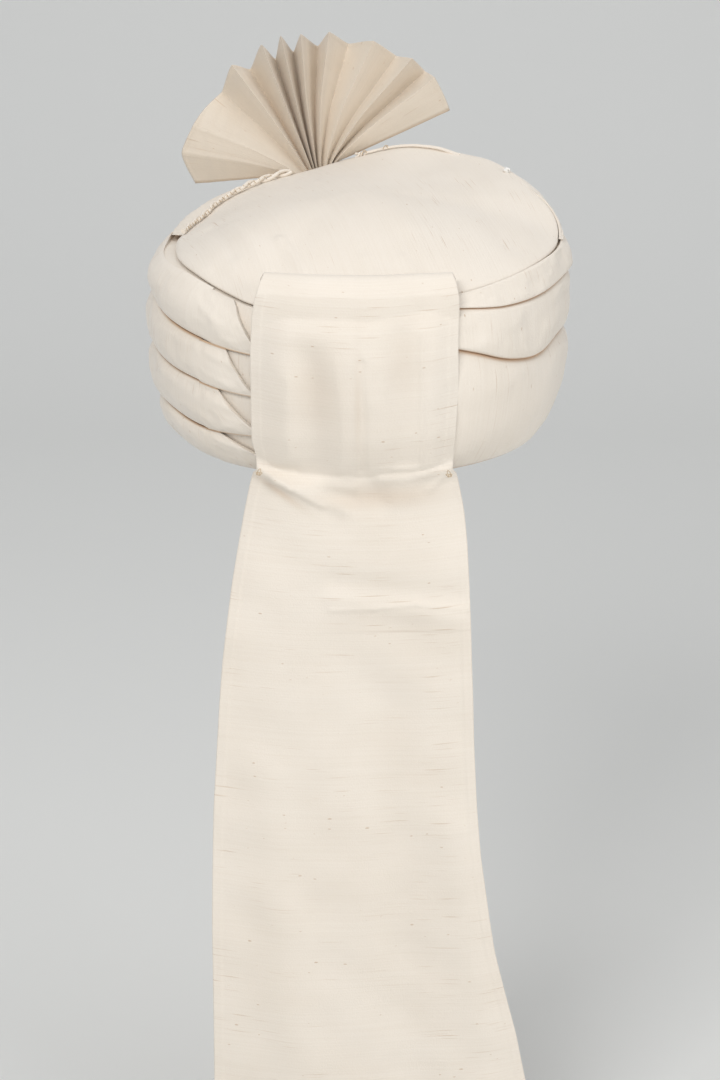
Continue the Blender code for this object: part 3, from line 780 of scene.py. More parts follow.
def settled(name, outer, held, settings):
    """A wrap's outer face after its cloth has settled over its filling, with small moves only."""
    if not settings.settle_frames:
        return outer
    rows, columns = outer.shape[:2]
    index = np.arange(rows * columns).reshape(rows, columns)
    quads = quads_between(index[:-1], index[1:])[:, ::-1]
    mesh = bpy.data.meshes.new(name)
    mesh.from_pydata(outer.reshape(-1, 3).tolist(), [], quads.tolist())
    cloth = bpy.data.objects.new(name, mesh)
    scene = bpy.context.scene
    scene.collection.objects.link(cloth)
    held = held.copy()
    held[[0, -1]] = held[:, [0, -1]] = True
    cloth.vertex_groups.new(name="held").add(np.flatnonzero(held).tolist(), 1.0, "REPLACE")
    cloth.modifiers.new("cloth", "CLOTH")
    rule = cloth.modifiers["cloth"].settings
    rule.vertex_group_mass = "held"
    rule.quality = SETTLE_STEPS
    rule.tension_stiffness = rule.compression_stiffness = settings.stiffness
    rule.bending_stiffness = settings.bending
    rule.use_pressure = True
    rule.uniform_pressure_force = settings.pressure
    rule.shrink_min = -settings.slack
    rule.effector_weights.gravity = 0.0
    cloth.modifiers["cloth"].point_cache.frame_end = settings.settle_frames
    for step in range(1, settings.settle_frames + 1):
        scene.frame_set(step)
    seen = cloth.evaluated_get(bpy.context.evaluated_depsgraph_get()).data
    moved = np.empty(rows * columns * 3)
    seen.vertices.foreach_get("co", moved)
    scene.frame_set(1)
    bpy.data.objects.remove(cloth)
    bpy.data.meshes.remove(mesh)
    move = moved.reshape(outer.shape) - outer
    size = np.linalg.norm(move, axis=-1, keepdims=True)
    return outer + move * settings.settle_cap / (settings.settle_cap + size)


def wrap_piece(name, number, low_edge, high_edge, start, settings):
    """A padded wrap whose left end thins to a slanted tongue over the wrap below it."""
    turns = np.linspace(start, TONGUE_START, int((TONGUE_START - start) / WRAP_STEP) + 1)
    shares = np.linspace(0.0, 1.0, TONGUE_COLUMNS + 1)[1:]
    up = ((1 - np.cos(np.linspace(0.0, math.pi, WRAP_POINTS))) / 2)[None, :]
    top_turn, foot_turn, curve = TONGUES[number - 1]
    ends = top_turn + (foot_turn - top_turn) * (1 - up**curve)
    tongue = TONGUE_START + (ends - TONGUE_START) * shares[:, None]
    at = np.concatenate([np.repeat(turns[:, None], WRAP_POINTS, axis=1), tongue])
    share = np.concatenate([np.zeros(len(turns)), shares])[:, None]
    high = high_edge(at)
    topmost = number == 1
    if topmost:
        high = seam_height(at) - column(ROLL_MEET, at, 3, soft=SOFT_TURN)
    radius, height = roll_surface(at, up, low_edge(at), high, settings.crease_depth, number)
    pucker = settings.pucker * share * (1 - share) * 4
    radius += pucker * np.sin(math.tau * (up * PUCKERS + share))
    inside = cap_radius(at) + CLEARANCE
    over = body_radius(at, height) - UNDER_DEPTH + 2 * CLEARANCE
    on_tongue = np.clip(share / shares[3 if topmost else 0], 0.0, 1.0)
    inside = inside + (over - inside) * on_tongue
    radius = radius - TONGUE_DIP * share**3 * on_tongue
    radius = radius + TONGUE_LIP * on_tongue * np.clip(1 - 2 * up, 0.0, 1.0) ** 3
    if not topmost:
        radius = radius - TONGUE_LIP * on_tongue * np.clip(2 * up - 1, 0.0, 1.0) ** 3
    radius = np.maximum(radius, inside + LEAST_WALL)
    if topmost:
        parting = eased((at - BAND_TURNS[0]) / CROWN_PARTING + 1)
        beside_crown = crown_edge(at)[0] + 2 * CLEARANCE * parting
        radius = np.where(at < BAND_TURNS[0], np.maximum(radius, beside_crown), radius)
        at, radius, inside = (np.append(grid, grid[:, -1:], axis=1) for grid in (at, radius, inside))
        tucked = np.minimum(high_edge(at[:, -1:]), height[:, -1:] - LIP_STEP)
        height = np.concatenate([height, tucked], axis=1)
        up = np.append(up, up[:, -1:], axis=1)
    bulge = np.broadcast_to(np.abs(2 * up - 1), at.shape)
    outer = settled(name, places(at, radius, height), bulge > HELD_BEYOND, settings)
    under = height
    if topmost:
        foot = height[:, :1]
        under = foot + (height - foot) / (height[:, -2:-1] - foot) * (high_edge(at) - foot)
        under[:, -1] = under[:, -2] - LIP_STEP
    inner = places(at, inside, under)
    # Painted shade in the creases between the wraps, and under the topmost wrap's lip.
    shade = eased((bulge - DARK_FROM) / (1 - DARK_FROM))
    if topmost:
        upper = np.arange(at.shape[1])[None, :] > WRAP_POINTS / 2
        shade = shade * np.where(upper, np.interp(at, *LIP_SHADE), 1.0)
    return layered(name, outer, inner, grid_weave(outer, number), shade=shade)


def edge_of(table):
    """The height of an edge between wraps, as a function of the turn."""
    return lambda turn: RIDGE_HEIGHT * column(table, turn, soft=SOFT_TURN)


def wrap_pieces(settings):
    """The padded wraps, from the topmost down."""
    first, second, third = edge_of(FIRST_EDGE), edge_of(SECOND_EDGE), edge_of(THIRD_EDGE)
    half = CLEARANCE / 2
    rows = (
        (lambda t: first(t) + half, lambda t: seam_height(t) - CROWN_LAP, WRAP_START),
        (lambda t: second(t) + half, lambda t: first(t) - half, WRAP_START),
        (lambda t: third(t) + half, lambda t: second(t) - half, WRAP_START),
        (lambda t: -RIM_DROP + 0 * t, lambda t: third(t) - half, LAST_WRAP_START),
    )
    made = []
    for number, (low, high, start) in enumerate(rows, 1):
        made.append(wrap_piece(f"roll_{number}", number, low, high, start, settings))
    return made


def under_piece(settings):
    """The wrap behind the panel, which shows beside it under the ends of the others."""
    turns = np.linspace(*UNDER_TURNS, UNDER_POINTS)[:, None]
    up = np.linspace(0.0, 1.0, UNDER_POINTS)[None, :]
    top = seam_height(turns) - CROWN_LAP
    height = (top + RIM_DROP) * up - RIM_DROP
    radius = body_radius(turns, height) - UNDER_DEPTH - CLEARANCE
    for table in (FIRST_EDGE, SECOND_EDGE, THIRD_EDGE):
        off = (height - edge_of(table)(turns)) / UNDER_CREASE
        radius = radius - settings.pucker * np.exp(-(off**2))
    outer = places(turns, radius, height)
    inner = places(turns, cap_radius(turns) + CLEARANCE, height)
    return layered("under_roll", outer, inner, grid_weave(outer))


def band_piece(settings):
    """The topmost wrap, which rises in front to the ridge."""
    turns = np.linspace(*BAND_TURNS, BAND_COLUMNS)[:, None]
    up = np.linspace(0.0, 1.0, BAND_POINTS)[None, :]
    edge_radius, ridge = crown_edge(turns)
    low = seam_height(turns) + CLEARANCE
    high = np.maximum(ridge - CAP_WALL / 2, low + CLEARANCE)
    full = plan(turns, BODY_HALF_WIDTH, BODY_HALF_DEPTH)
    inside = edge_radius + CLEARANCE
    share = column(BAND_REACH, turns, soft=SOFT_TURN)
    share = share + column(SHOULDER, turns, soft=SOFT_TURN) * (1 - up)
    share = share - BAND_LEAN * up**BAND_LEAN_POWER * (high - low) / (RIDGE_HEIGHT - low)
    pinch = BAND_PINCH * np.abs(2 * up - 1) ** 4
    height = low + (high - low) * up
    size, waves, turns_a_wave, full_from = BAND_FOLDS
    folds = size * np.sin(math.tau * (up * waves + turns / turns_a_wave))
    folds = folds * eased((high - low) / full_from)
    radius = np.maximum(full * share - pinch + folds, inside + LEAST_WALL)
    held = np.broadcast_to(np.abs(2 * up - 1) > HELD_BEYOND, radius.shape)
    outer = settled("front_roll", places(turns, radius, height), held, settings)
    inner = places(turns, inside + 0 * height, height)
    return layered("front_roll", outer, inner, grid_weave(outer, BAND_WEAVE))


def fan_place(angle, radius, offset):
    """Places of the fan: polar in its leaning face, moved off it, and gathered to its foot."""
    lean = math.radians(FAN_LEAN)
    up = radius * np.sin(np.radians(angle))
    curl = FAN_CURL * (radius / FAN_RADIUS) ** 2
    spread = np.stack([
        FAN_ACROSS + radius * np.cos(np.radians(angle)),
        FAN_FORWARD + up * math.sin(lean) + curl - offset * math.cos(lean),
        FAN_BASE + up * math.cos(lean) + offset * math.sin(lean),
    ], axis=-1)
    first, last = FAN_FOLDS[0][0], FAN_FOLDS[-1][0]
    turn = np.interp(angle, (last, first), FAN_FOOT_TURNS[::-1])
    edge_radius, ridge = crown_edge(turn)
    seat = ridge - CAP_WALL / 2 + CLEARANCE
    foot = places(turn, edge_radius + FAN_SEAT - offset, seat)
    gather = eased((radius - FAN_HUB) / (FAN_GATHER - FAN_HUB))[..., None]
    return foot + (spread - foot) * gather


def fan_piece(settings):
    """The pleated fan, gathered at its foot on the ridge."""
    count = (len(FAN_FOLDS) - 1) * FAN_FACETS + 1
    at = np.linspace(0.0, len(FAN_FOLDS) - 1, count)
    folds = np.array(FAN_FOLDS, float)
    angles, reaches, sides = (np.interp(at, range(len(folds)), folds[:, k])[:, None] for k in range(3))
    beside = (np.clip(at + o, 0, len(folds) - 1) for o in (-FAN_TIP_ROUND, 0.0, FAN_TIP_ROUND))
    reaches = sum(np.interp(place, range(len(folds)), folds[:, 1]) for place in beside)[:, None] / 3
    share = np.linspace(0.0, 1.0, FAN_RINGS)[None, :]
    radius = FAN_HUB + (FAN_RADIUS * reaches - FAN_HUB) * share
    within = np.exp(-(((angles - FAN_DEEPEST_AT) / FAN_DEEP_SPREAD) ** 2))
    opened = FAN_PLEAT_AT_HUB + (1 - FAN_PLEAT_AT_HUB) * share**FAN_OPENING
    depth = settings.pleat_depth * (1 + FAN_DEEPER * within) * opened
    rounded = np.sin(sides * math.pi / 2)
    crest = depth * (rounded + (sides - rounded) * settings.crispness)
    crest = crest + FAN_RIPPLE * ripple("fan", radius, np.radians(angles) * radius) * share
    near = np.flatnonzero(folds[:, 2] > 0)
    past_rib = (at[:, None] - near[None, :])[:, None, :]
    crest = crest + FAN_RIB * share * np.exp(-((past_rib / FAN_RIB_WIDTH) ** 2)).sum(axis=-1)
    creased = np.exp(-(((past_rib - 2 * FAN_RIB_WIDTH) / FAN_RIB_WIDTH) ** 2)).sum(axis=-1)
    half = settings.cloth_thickness / 2 * (1 + FAN_RIM * eased((share - FAN_RIM_FROM) / FAN_RIM_STEP))
    angles = angles + 0 * radius
    outer = fan_place(angles, radius, crest + half)
    inner = fan_place(angles, radius, crest - half)
    along = steps_along(outer[:, -1:], 0)[:, None]
    weave = np.stack(np.broadcast_arrays(radius, along), axis=-1)
    # Painted shade in the recesses and in the creases beside the ribs, most in the deepest pleats, and
    # on the left side; the raw edges are darker too.
    dark = FAN_LEAST_DARK + (1 - FAN_LEAST_DARK) * within
    shade = eased(-sides) * dark * (1 - share) ** FAN_RECESS_FADE
    shade = shade + FAN_SIDE_SHADE * eased((angles - FAN_SIDE_FROM) / FAN_SIDE_SPREAD)
    shade = shade + FAN_CREASE_SHADE * creased * dark * (1 - FAN_CREASE_FADE * share)
    shade = np.minimum(shade, 1.0)
    shade[[0, -1]] = FAN_RAW_EDGE
    rounding = settings.cloth_thickness * EDGE_ROUND
    return layered("fan", outer, inner, weave, rounding=rounding, shade=shade)


def tail_share(height):
    """Heights in the terms of the tail's tables."""
    return np.where(height < 0, height / TAIL_DROP, height / PANEL_TOP)


def panel_depth(across, height, settings):
    """How far behind the middle the tail's inner face is, at places across and heights."""
    turn = np.degrees(np.arctan2(across, BODY_HALF_DEPTH))
    share = (np.abs(across) / BODY_HALF_WIDTH) ** PLAN_POWER
    body_depth = BODY_HALF_DEPTH * (1 - share) ** (1 / PLAN_POWER)
    share_back = column(TAIL_DEPTH, tail_share(height), soft=TAIL_SOFT)
    depth = body_depth * share_back
    flat = eased(-height / (TAIL_FLAT_BELOW * TAIL_DROP)) * TAIL_FLATNESS
    depth = depth + (BODY_HALF_DEPTH * share_back - depth) * flat
    out = np.abs(across) / PANEL_WIDTH
    edge = eased((out - PANEL_EDGE_FROM) / (PANEL_EDGE_TO - PANEL_EDGE_FROM))
    puff = PANEL_PUFF * (1 - edge) - PANEL_PRESS * edge
    lift = crease_lift(across, height, TAIL_CREASES, PANEL_WIDTH, PANEL_WIDTH)
    hang = eased(-height / HANG_FROM)
    lift = lift + settings.undulation * ripple("tail", across, height) * hang
    lift = lift + CLOTH_RIPPLE * ripple("tail_fine", across, height)
    full = body_radius(turn, np.maximum(height, 0.0)) / plan(turn, BODY_HALF_WIDTH, BODY_HALF_DEPTH)
    dent = np.minimum(lift, 0.0) * PANEL_DENT
    seated = np.maximum(depth + lift, body_depth * full + puff + dent)
    return np.where(height < 0, depth + lift, seated)


def tail_piece(settings):
    """The panel over the back and the tail that hangs from it, one strip."""
    foot = PANEL_FOOT * PANEL_TOP
    steps = np.linspace(0.0, len(PANEL_FOLD), FOLD_ROWS + 1)[:-1]
    fold = np.array(PANEL_FOLD + ((PANEL_FOOT, 1 / FOLD_SETBACK),))
    fold[:-1, 1] /= PANEL_FOLD[-1][1]
    soft_index = [
        sum(w * np.interp(steps + o, range(len(fold)), fold[:, k]) for o, w in SOFT_TAPS)
        for k in range(2)
    ]
    fold_height, fold_share = PANEL_TOP * soft_index[0], soft_index[1] * FOLD_SETBACK
    tilts = np.radians(FOLD_TILT * (1 - steps / len(PANEL_FOLD)))
    heights = np.concatenate([
        np.linspace(foot, 0.0, PANEL_ROWS),
        np.linspace(0.0, -KNEE_DROP, KNEE_ROWS + 1)[1:],
        np.linspace(-KNEE_DROP, -TAIL_DROP, DROP_ROWS + 1)[1:],
    ])
    spread = ((1 - np.cos(np.linspace(0.0, math.pi, TAIL_COLUMNS))) / 2)[None, :]

    def across_at(height):
        left, right = (
            PANEL_WIDTH * column(TAIL_EDGES, tail_share(height), side, soft=EDGE_SOFT)[:, None]
            for side in (1, 2)
        )
        return left + (right - left) * spread

    across = across_at(heights)
    height = heights[:, None] + 0 * across
    depth = panel_depth(across, height, settings)
    from_edge = np.minimum(across - across[:, :1], across[:, -1:] - across)
    hem = 1 - eased((from_edge - settings.hem_width) / HEM_STEP)
    foot_hem = 1 - eased((height + TAIL_DROP - settings.hem_width) / FOOT_HEM_STEP)
    depth = depth + settings.hem_rise * np.maximum(hem, foot_hem)
    base = np.stack([across, -depth, height], axis=-1)
    over = across_at(fold_height)
    join = panel_depth(over, foot + 0 * over, settings)
    top = np.stack([over, -join * fold_share[:, None], fold_height[:, None] + 0 * over], axis=-1)
    inner = np.concatenate([top, base])
    thick = settings.cloth_thickness
    way = np.concatenate([tilts, np.zeros(len(heights))])[:, None]
    lift = thick * np.stack([0 * way, -np.cos(way), np.sin(way)], axis=-1)
    outer = inner + lift
    along = steps_along(outer, 0)[:, None] + SMILE * outer[..., 0] ** 2
    weave = np.stack([outer[..., 0], along], axis=-1) + TAIL_WEAVE
    # Painted shade in the tail's deep folds, from TAIL_SHADES.
    shade = 0.0
    for x, z, wide, high, slope, strength in TAIL_SHADES:
        aside = outer[..., 0] - x
        above = outer[..., 2] - z - slope * aside
        shade = shade + strength * np.exp(-((aside / wide) ** 2) - (above / high) ** 2)
    return layered("tail_cloth", outer, inner, weave, rounding=thick * EDGE_ROUND, shade=shade)


def path_object(name, lines):
    """A mesh of open lines that a tree of nodes turns into thread."""
    mesh = bpy.data.meshes.new(name)
    points, edges = [], []
    for line in lines:
        first = len(points)
        points += [tuple(p) for p in line]
        edges += [(first + k, first + k + 1) for k in range(len(line) - 1)]
    mesh.from_pydata(points, edges, [])
    piece = bpy.data.objects.new(name, mesh)
    bpy.context.scene.collection.objects.link(piece)
    return piece


def new_tree(name, inputs):
    """An empty tree of geometry nodes, and the sockets of its geometry and its numbers."""
    tree = bpy.data.node_groups.new(name, "GeometryNodeTree")
    tree.interface.new_socket("Geometry", in_out="INPUT", socket_type="NodeSocketGeometry")
    for label, kind in inputs.items():
        tree.interface.new_socket(label, in_out="INPUT", socket_type=kind)
    tree.interface.new_socket("Geometry", in_out="OUTPUT", socket_type="NodeSocketGeometry")
    return tree, tree.nodes.new("NodeGroupInput").outputs


def finish_tree(tree, last, material):
    """Ends a tree with smooth shading, realized instances and its material."""
    smooth = add(tree, "GeometryNodeSetShadeSmooth", {"Geometry": last})
    realize = add(tree, "GeometryNodeRealizeInstances", {"Geometry": smooth.outputs["Geometry"]})
    paint = {"Geometry": realize.outputs["Geometry"], "Material": material}
    paint = add(tree, "GeometryNodeSetMaterial", paint)
    add(tree, "NodeGroupOutput", {"Geometry": paint.outputs["Geometry"]})
    return tree


def strand_tree(material):
    """Sweeps a round strand of uneven thickness along each line of a mesh."""
    kinds = dict.fromkeys(("Radius", "Unevenness", "Seed"), "NodeSocketFloat")
    tree, given = new_tree("pagri_strand", kinds)
    curve = add(tree, "GeometryNodeMeshToCurve", {"Mesh": given["Geometry"]}).outputs["Curve"]
    place = add(tree, "GeometryNodeInputPosition").outputs["Position"]
    noise = {"Vector": place, "W": given["Seed"], "Scale": STRAND_NOISE}
    noise = add(tree, "ShaderNodeTexNoise", noise, noise_dimensions="4D").outputs["Fac"]
    centred = add(tree, "ShaderNodeMath", {0: noise, 1: 0.5}, operation="SUBTRACT").outputs["Value"]
    uneven = {0: centred, 1: given["Unevenness"], 2: 1.0}
    uneven = add(tree, "ShaderNodeMath", uneven, operation="MULTIPLY_ADD").outputs["Value"]
    thick = add(tree, "GeometryNodeSetCurveRadius", {"Curve": curve, "Radius": uneven}).outputs["Curve"]
    circle = {"Resolution": STRAND_SIDES, "Radius": given["Radius"]}
    circle = add(tree, "GeometryNodeCurvePrimitiveCircle", circle).outputs["Curve"]
    scale = add(tree, "GeometryNodeInputRadius").outputs["Radius"]
    sweep = {"Curve": thick, "Profile Curve": circle, "Scale": scale, "Fill Caps": True}
    return finish_tree(tree, add(tree, "GeometryNodeCurveToMesh", sweep).outputs["Mesh"], material)


def stitch_tree(material):
    """Lays short slanted stitches along each line of a mesh."""
    kinds = dict.fromkeys(("Spacing", "Length", "Thickness", "Slant"), "NodeSocketFloat")
    tree, given = new_tree("pagri_stitches", {**kinds, "Seed": "NodeSocketInt"})
    curve = add(tree, "GeometryNodeMeshToCurve", {"Mesh": given["Geometry"]}).outputs["Curve"]
    spaced = {"Curve": curve, "Length": given["Spacing"]}
    spaced = add(tree, "GeometryNodeCurveToPoints", spaced, mode="LENGTH").outputs
    stitch = {"Vertices": STITCH_SIDES, "Radius": given["Thickness"], "Depth": given["Length"]}
    stitch = add(tree, "GeometryNodeMeshCylinder", stitch).outputs["Mesh"]
    jitter = {"Min": -STITCH_JITTER, "Max": STITCH_JITTER, "Seed": given["Seed"]}
    jitter = add(tree, "FunctionNodeRandomValue", jitter).outputs[1]
    slanted = add(tree, "ShaderNodeMath", {0: jitter, 1: given["Slant"]}).outputs["Value"]
    angle = add(tree, "ShaderNodeCombineXYZ", {"X": slanted}).outputs["Vector"]
    turn = add(tree, "FunctionNodeEulerToRotation", {"Euler": angle}).outputs["Rotation"]
    turned = {"Rotation": spaced["Rotation"], "Rotate By": turn}
    turned = add(tree, "FunctionNodeRotateRotation", turned, rotation_space="LOCAL").outputs["Rotation"]
    laid = {"Points": spaced["Points"], "Instance": stitch, "Rotation": turned}
    laid = add(tree, "GeometryNodeInstanceOnPoints", laid).outputs["Instances"]
    return finish_tree(tree, laid, material)


def grown(piece, tree, values):
    """Runs a tree on a piece and keeps the result as its plain mesh."""
    modifier = piece.modifiers.new("grown", "NODES")
    modifier.node_group = tree
    for item in tree.interface.items_tree:
        if item.in_out == "INPUT" and item.name in values:
            modifier[item.identifier] = values[item.name]
    bpy.context.view_layer.update()
    graph = bpy.context.evaluated_depsgraph_get()
    mesh = bpy.data.meshes.new_from_object(piece.evaluated_get(graph))
    piece.modifiers.remove(modifier)
    piece.data = mesh
    if not len(mesh.polygons):
        raise RuntimeError(f"{piece.name}: the nodes made no faces")
    return piece


def ridge_centre(turns, radius, reach):
    """The middle line of a hem that lies on the crown just inside its edge."""
    middle = crown_edge(turns)[0] - radius
    return places(turns, middle, crown_height(turns, middle) + reach + CLEARANCE / 2)


def frames_along(line):
    """Directions outward and upward across a line."""
    ahead = np.gradient(line, axis=0)
    ahead /= np.linalg.norm(ahead, axis=1, keepdims=True)
    out = line * (1, 1, 0)
    out = out - ahead * (out * ahead).sum(axis=1, keepdims=True)
    out /= np.linalg.norm(out, axis=1, keepdims=True)
    return out, np.cross(out, ahead) * np.sign(np.cross(out, ahead)[:, 2:3])


def crossed(out, rise, roll):
    """Directions out of a line, turned about it by an angle."""
    return np.cos(roll) * out + np.sin(roll) * rise


def twist_lines(settings):
    """Strands of the twisted hem along the ridge, left of the fan."""
    turns = np.linspace(TWIST_TURNS[0] - HEM_REACH, TWIST_TURNS[1], TWIST_POINTS)
    line = ridge_centre(turns, TWIST_RADIUS, TWIST_RADIUS * TWIST_LIFT)
    out, rise = frames_along(line)
    along = np.concatenate([[0.0], np.cumsum(np.linalg.norm(np.diff(line, axis=0), axis=1))])
    size, change, length, shift = TWIST_LOOSE
    lines = []
    for k in range(2):
        roll = (math.tau * along / settings.twist_pitch + math.pi * k)[:, None]
        loose = (size + change * np.sin(along / length + shift * k))[:, None]
        loose = loose * np.interp(turns, TWIST_TURNS, (1.0, HEM_THINNING))[:, None]
        lines.append(line - TWIST_SINK * rise + loose * crossed(out, TWIST_FLATNESS * rise, roll))
    return lines


def piping_lines():
    """The two thin cords of the piping along the ridge, right of the fan."""
    turns = np.linspace(PIPING_TURNS[0], PIPING_TURNS[1] + HEM_REACH, PIPING_POINTS)
    line = ridge_centre(turns, PIPING_RADIUS, PIPING_RADIUS * PIPING_LIFT)
    out, rise = frames_along(line)
    sink, turns_to_sink = PIPING_END
    sink = PIPING_SINK + sink * eased((turns[0] - turns) / turns_to_sink + 1)[:, None]
    roll = (PIPING_ROLL * eased((turns - PIPING_TURNS[1]) / HEM_REACH))[:, None]
    return [line - sink * rise + PIPING_APART * side * crossed(out, rise, roll) for side in (-1, 1)]


def whip_lines():
    """The line along the inner side of the twisted hem that its stitches follow."""
    turns = np.linspace(*WHIP_TURNS, WHIP_POINTS)
    line = ridge_centre(turns, TWIST_RADIUS, TWIST_RADIUS * TWIST_LIFT)
    out, rise = frames_along(line)
    return [line - WHIP_PLACE[0] * out + WHIP_PLACE[1] * rise]


def cross_stitch_lines():
    """Crossed threads over the piping."""
    reach, skew, top, sink = CROSS_STITCH
    arc = np.linspace(-1.0, 1.0, CROSS_STITCH_POINTS)[:, None]
    lines = []
    for turn in CROSS_STITCH_TURNS:
        turns = np.array([turn - CROSS_STITCH_STEP, turn, turn + CROSS_STITCH_STEP])
        line = ridge_centre(turns, PIPING_RADIUS, PIPING_RADIUS * PIPING_LIFT)
        out, rise = frames_along(line)
        ahead = (line[2] - line[0]) / np.linalg.norm(line[2] - line[0])
        bow = reach * arc * out[1] + (top * (1 - arc**2) - sink) * rise[1]
        lines += [line[1] + bow + skew * side * arc * ahead for side in (-1, 1)]
    return lines


def tack_lines():
    """Loops of thread at the two tacks that hold the panel's corners."""
    angle = np.linspace(0.0, math.tau, TACK_POINTS)[:, None]
    lines = []
    for x, y, z, side in TACKS:
        for k in range(3):
            tilt = TACK_TURN * k - TACK_START
            across = np.array((math.cos(tilt) * side, 0.0, math.sin(tilt)))
            aside = np.array((-math.sin(tilt) * side, 0.0, math.cos(tilt)))
            centre = np.array((x, y, z)) + TACK_STEP * k * across
            size = TACK_SIZE + TACK_GROWTH * k
            loop = size * (TACK_LONG * np.cos(angle) * across + TACK_WIDE * np.sin(angle) * aside)
            lines.append(centre + loop + TACK_BOW * np.sin(2 * angle) * np.array(TACK_OUT))
    return lines


def knot_lines():
    """The small white knot of thread at the crown's right edge."""
    turn, share, lift = KNOT
    radius, height = crown_edge(turn)
    centre = places(turn, radius * share, height + lift)
    angle = np.linspace(0.0, KNOT_ROUND, KNOT_POINTS)
    across, along = np.cos(angle), np.sin(angle)
    lines = []
    for k in range(3):
        ring = np.stack([across, along * math.cos(k), along * math.sin(k)], axis=-1)
        lines.append(centre + KNOT_SIZE * ring + (KNOT_STEP * k, 0.0, KNOT_STEP))
    return lines


def rope(name, lines, node, radius, seed):
    """A twisted or doubled hem swept along its lines by nodes."""
    values = {"Radius": radius, "Unevenness": HEM_UNEVENNESS, "Seed": float(seed)}
    piece = grown(path_object(name, lines), strand_tree(silk()), values)
    give_weave(piece)
    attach(piece, BODY)
    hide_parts(node)


def give_weave(piece):
    """Weave coordinates from the piece's own places, for strands too thin to show a direction."""
    mesh = piece.data
    for layer in list(mesh.uv_layers):
        mesh.uv_layers.remove(layer)
    place = np.empty(len(mesh.vertices) * 3)
    mesh.vertices.foreach_get("co", place)
    place = place.reshape(-1, 3)
    set_weave(mesh, np.stack([place[:, 0] + place[:, 2], place[:, 1] - place[:, 2]], axis=-1))


def number_prop(name, description, default, low=0.0, high=100.0, **more):
    """A number among the settings."""
    return FloatProperty(name=name, description=description, default=default, min=low, max=high, **more)


def size_prop(name, description, default, low=0.0, high=0.02):
    """A size among the settings, in metres."""
    return number_prop(name, description, default, low, high, unit="LENGTH", precision=5)


def share_prop(name, description, default):
    """A share from 0 to 1 among the settings."""
    return number_prop(name, description, default, 0.0, 1.0, subtype="FACTOR")


def whole_prop(name, description, default):
    """A whole number among the settings."""
    return IntProperty(name=name, description=description, default=default, min=0, max=1000)


def color_prop(name, description, default):
    """A colour among the settings."""
    return FloatVectorProperty(name=name, description=description, default=(*default, 1.0), size=4,
                               subtype="COLOR", min=0.0, max=1.0)


class PagriSilk(bpy.types.PropertyGroup):
    cloth_color: color_prop("Cloth colour", "Colour of the silk", (0.87, 0.795, 0.70))
    shade_color: color_prop("Shade colour", "Colour of its duller threads", (0.82, 0.735, 0.63))
    slub_color: color_prop("Slub colour", "Colour of the stray thick threads", (0.50, 0.30, 0.15))
    slub_strength: share_prop("Slub strength", "How plainly the thick threads show", 0.5)
    # Painted shade: the colours that the fold_shade attribute mixes in, the first deep in creases and
    # recesses and on the fan's raw edges, the second in shallow hollows.
    fold_shade_color: color_prop("Fold colour", "Colour deep in folds and on raw edges", (0.58, 0.36, 0.19))
    hollow_shade_color: color_prop("Hollow colour", "Colour of shallow hollows", (0.53, 0.47, 0.39))
    fold_strength: share_prop("Fold strength", "How plainly the folds are shaded", 0.8)
    roughness: share_prop("Roughness", "Roughness of the silk", 0.55)
    sheen: share_prop("Sheen", "Soft light that the silk's fibres catch", 0.25)
    weave_depth: size_prop("Weave depth", "Height of the threads' relief", 0.00032)


class PagriWraps(bpy.types.PropertyGroup):
    crease_depth: size_prop("Crease depth", "How deep the creases between wraps are", 0.0088, 0.002)
    settle_frames: whole_prop("Settling", "Frames of cloth simulation that settle the wraps", 12)
    pressure: number_prop("Pressure", "Pressure of the filling on the cloth", 0.5)
    slack: share_prop("Slack", "Share by which the cloth is longer than it has to be", 0.012)
    stiffness: number_prop("Stiffness", "How hard the cloth is to stretch", 15.0, 0.1)
    bending: number_prop("Bending", "How hard the cloth is to bend", 0.5)
    settle_cap: size_prop("Settling limit", "Most that a point moves as the cloth settles", 0.0016)
    pucker: size_prop("Pucker", "Height of the puckers at a wrap's turned end", 0.0002)
    fill: share_prop("Fill", "How full the wraps are padded", 0.85)


class PagriCrown(bpy.types.PropertyGroup):
    ripple: size_prop("Ripple", "Height of the crown's soft waves", 0.0004)


class PagriFan(bpy.types.PropertyGroup):
    pleat_depth: size_prop("Pleat depth", "Half the depth of the pleats at their tips", 0.0078, 0.001)
    cloth_thickness: size_prop("Thickness", "Thickness of the folded cloth", 0.0018, 0.001)
    # Painted shade: a darker, yellower copy of the silk for the fan, which lies in less light.
    painted_shade_tint: color_prop("Tint", "Tint of the stiffened cloth against the rest", (0.86, 0.83, 0.785))
    crispness: share_prop("Crispness", "How sharp the pleats' folds are", 0.6)


class PagriTail(bpy.types.PropertyGroup):
    cloth_thickness: size_prop("Thickness", "Thickness of the cloth", 0.0014, 0.001)
    hem_width: size_prop("Hem width", "Width of the hems along the edges", 0.0045, 0.001)
    hem_rise: size_prop("Hem rise", "How far the hems stand off the cloth", 0.00025)
    undulation: size_prop("Undulation", "Height of the hanging cloth's broad waves", 0.0011)


class PagriThread(bpy.types.PropertyGroup):
    color: color_prop("Thread colour", "Colour of the sewing thread", (0.62, 0.49, 0.34))
    knot_color: color_prop("Knot colour", "Colour of the white knot", (0.86, 0.84, 0.80))
    radius: size_prop("Thread radius", "Radius of the sewing thread", 0.00024, 0.0001)
    stitch_spacing: size_prop("Stitch spacing", "Distance between the hem's stitches", 0.0042, 0.001)
    stitch_length: size_prop("Stitch length", "Length of the hem's stitches", 0.0026, 0.0005)
    twist_pitch: size_prop("Twist pitch", "Length of a whole twist of the ridge hem", 0.026, 0.005, 0.05)
    strand: size_prop("Strand radius", "Radius of a strand of the ridge hem", 0.00115, 0.0005)
    seed: whole_prop("Seed", "Seed of the strands' unevenness", 3)


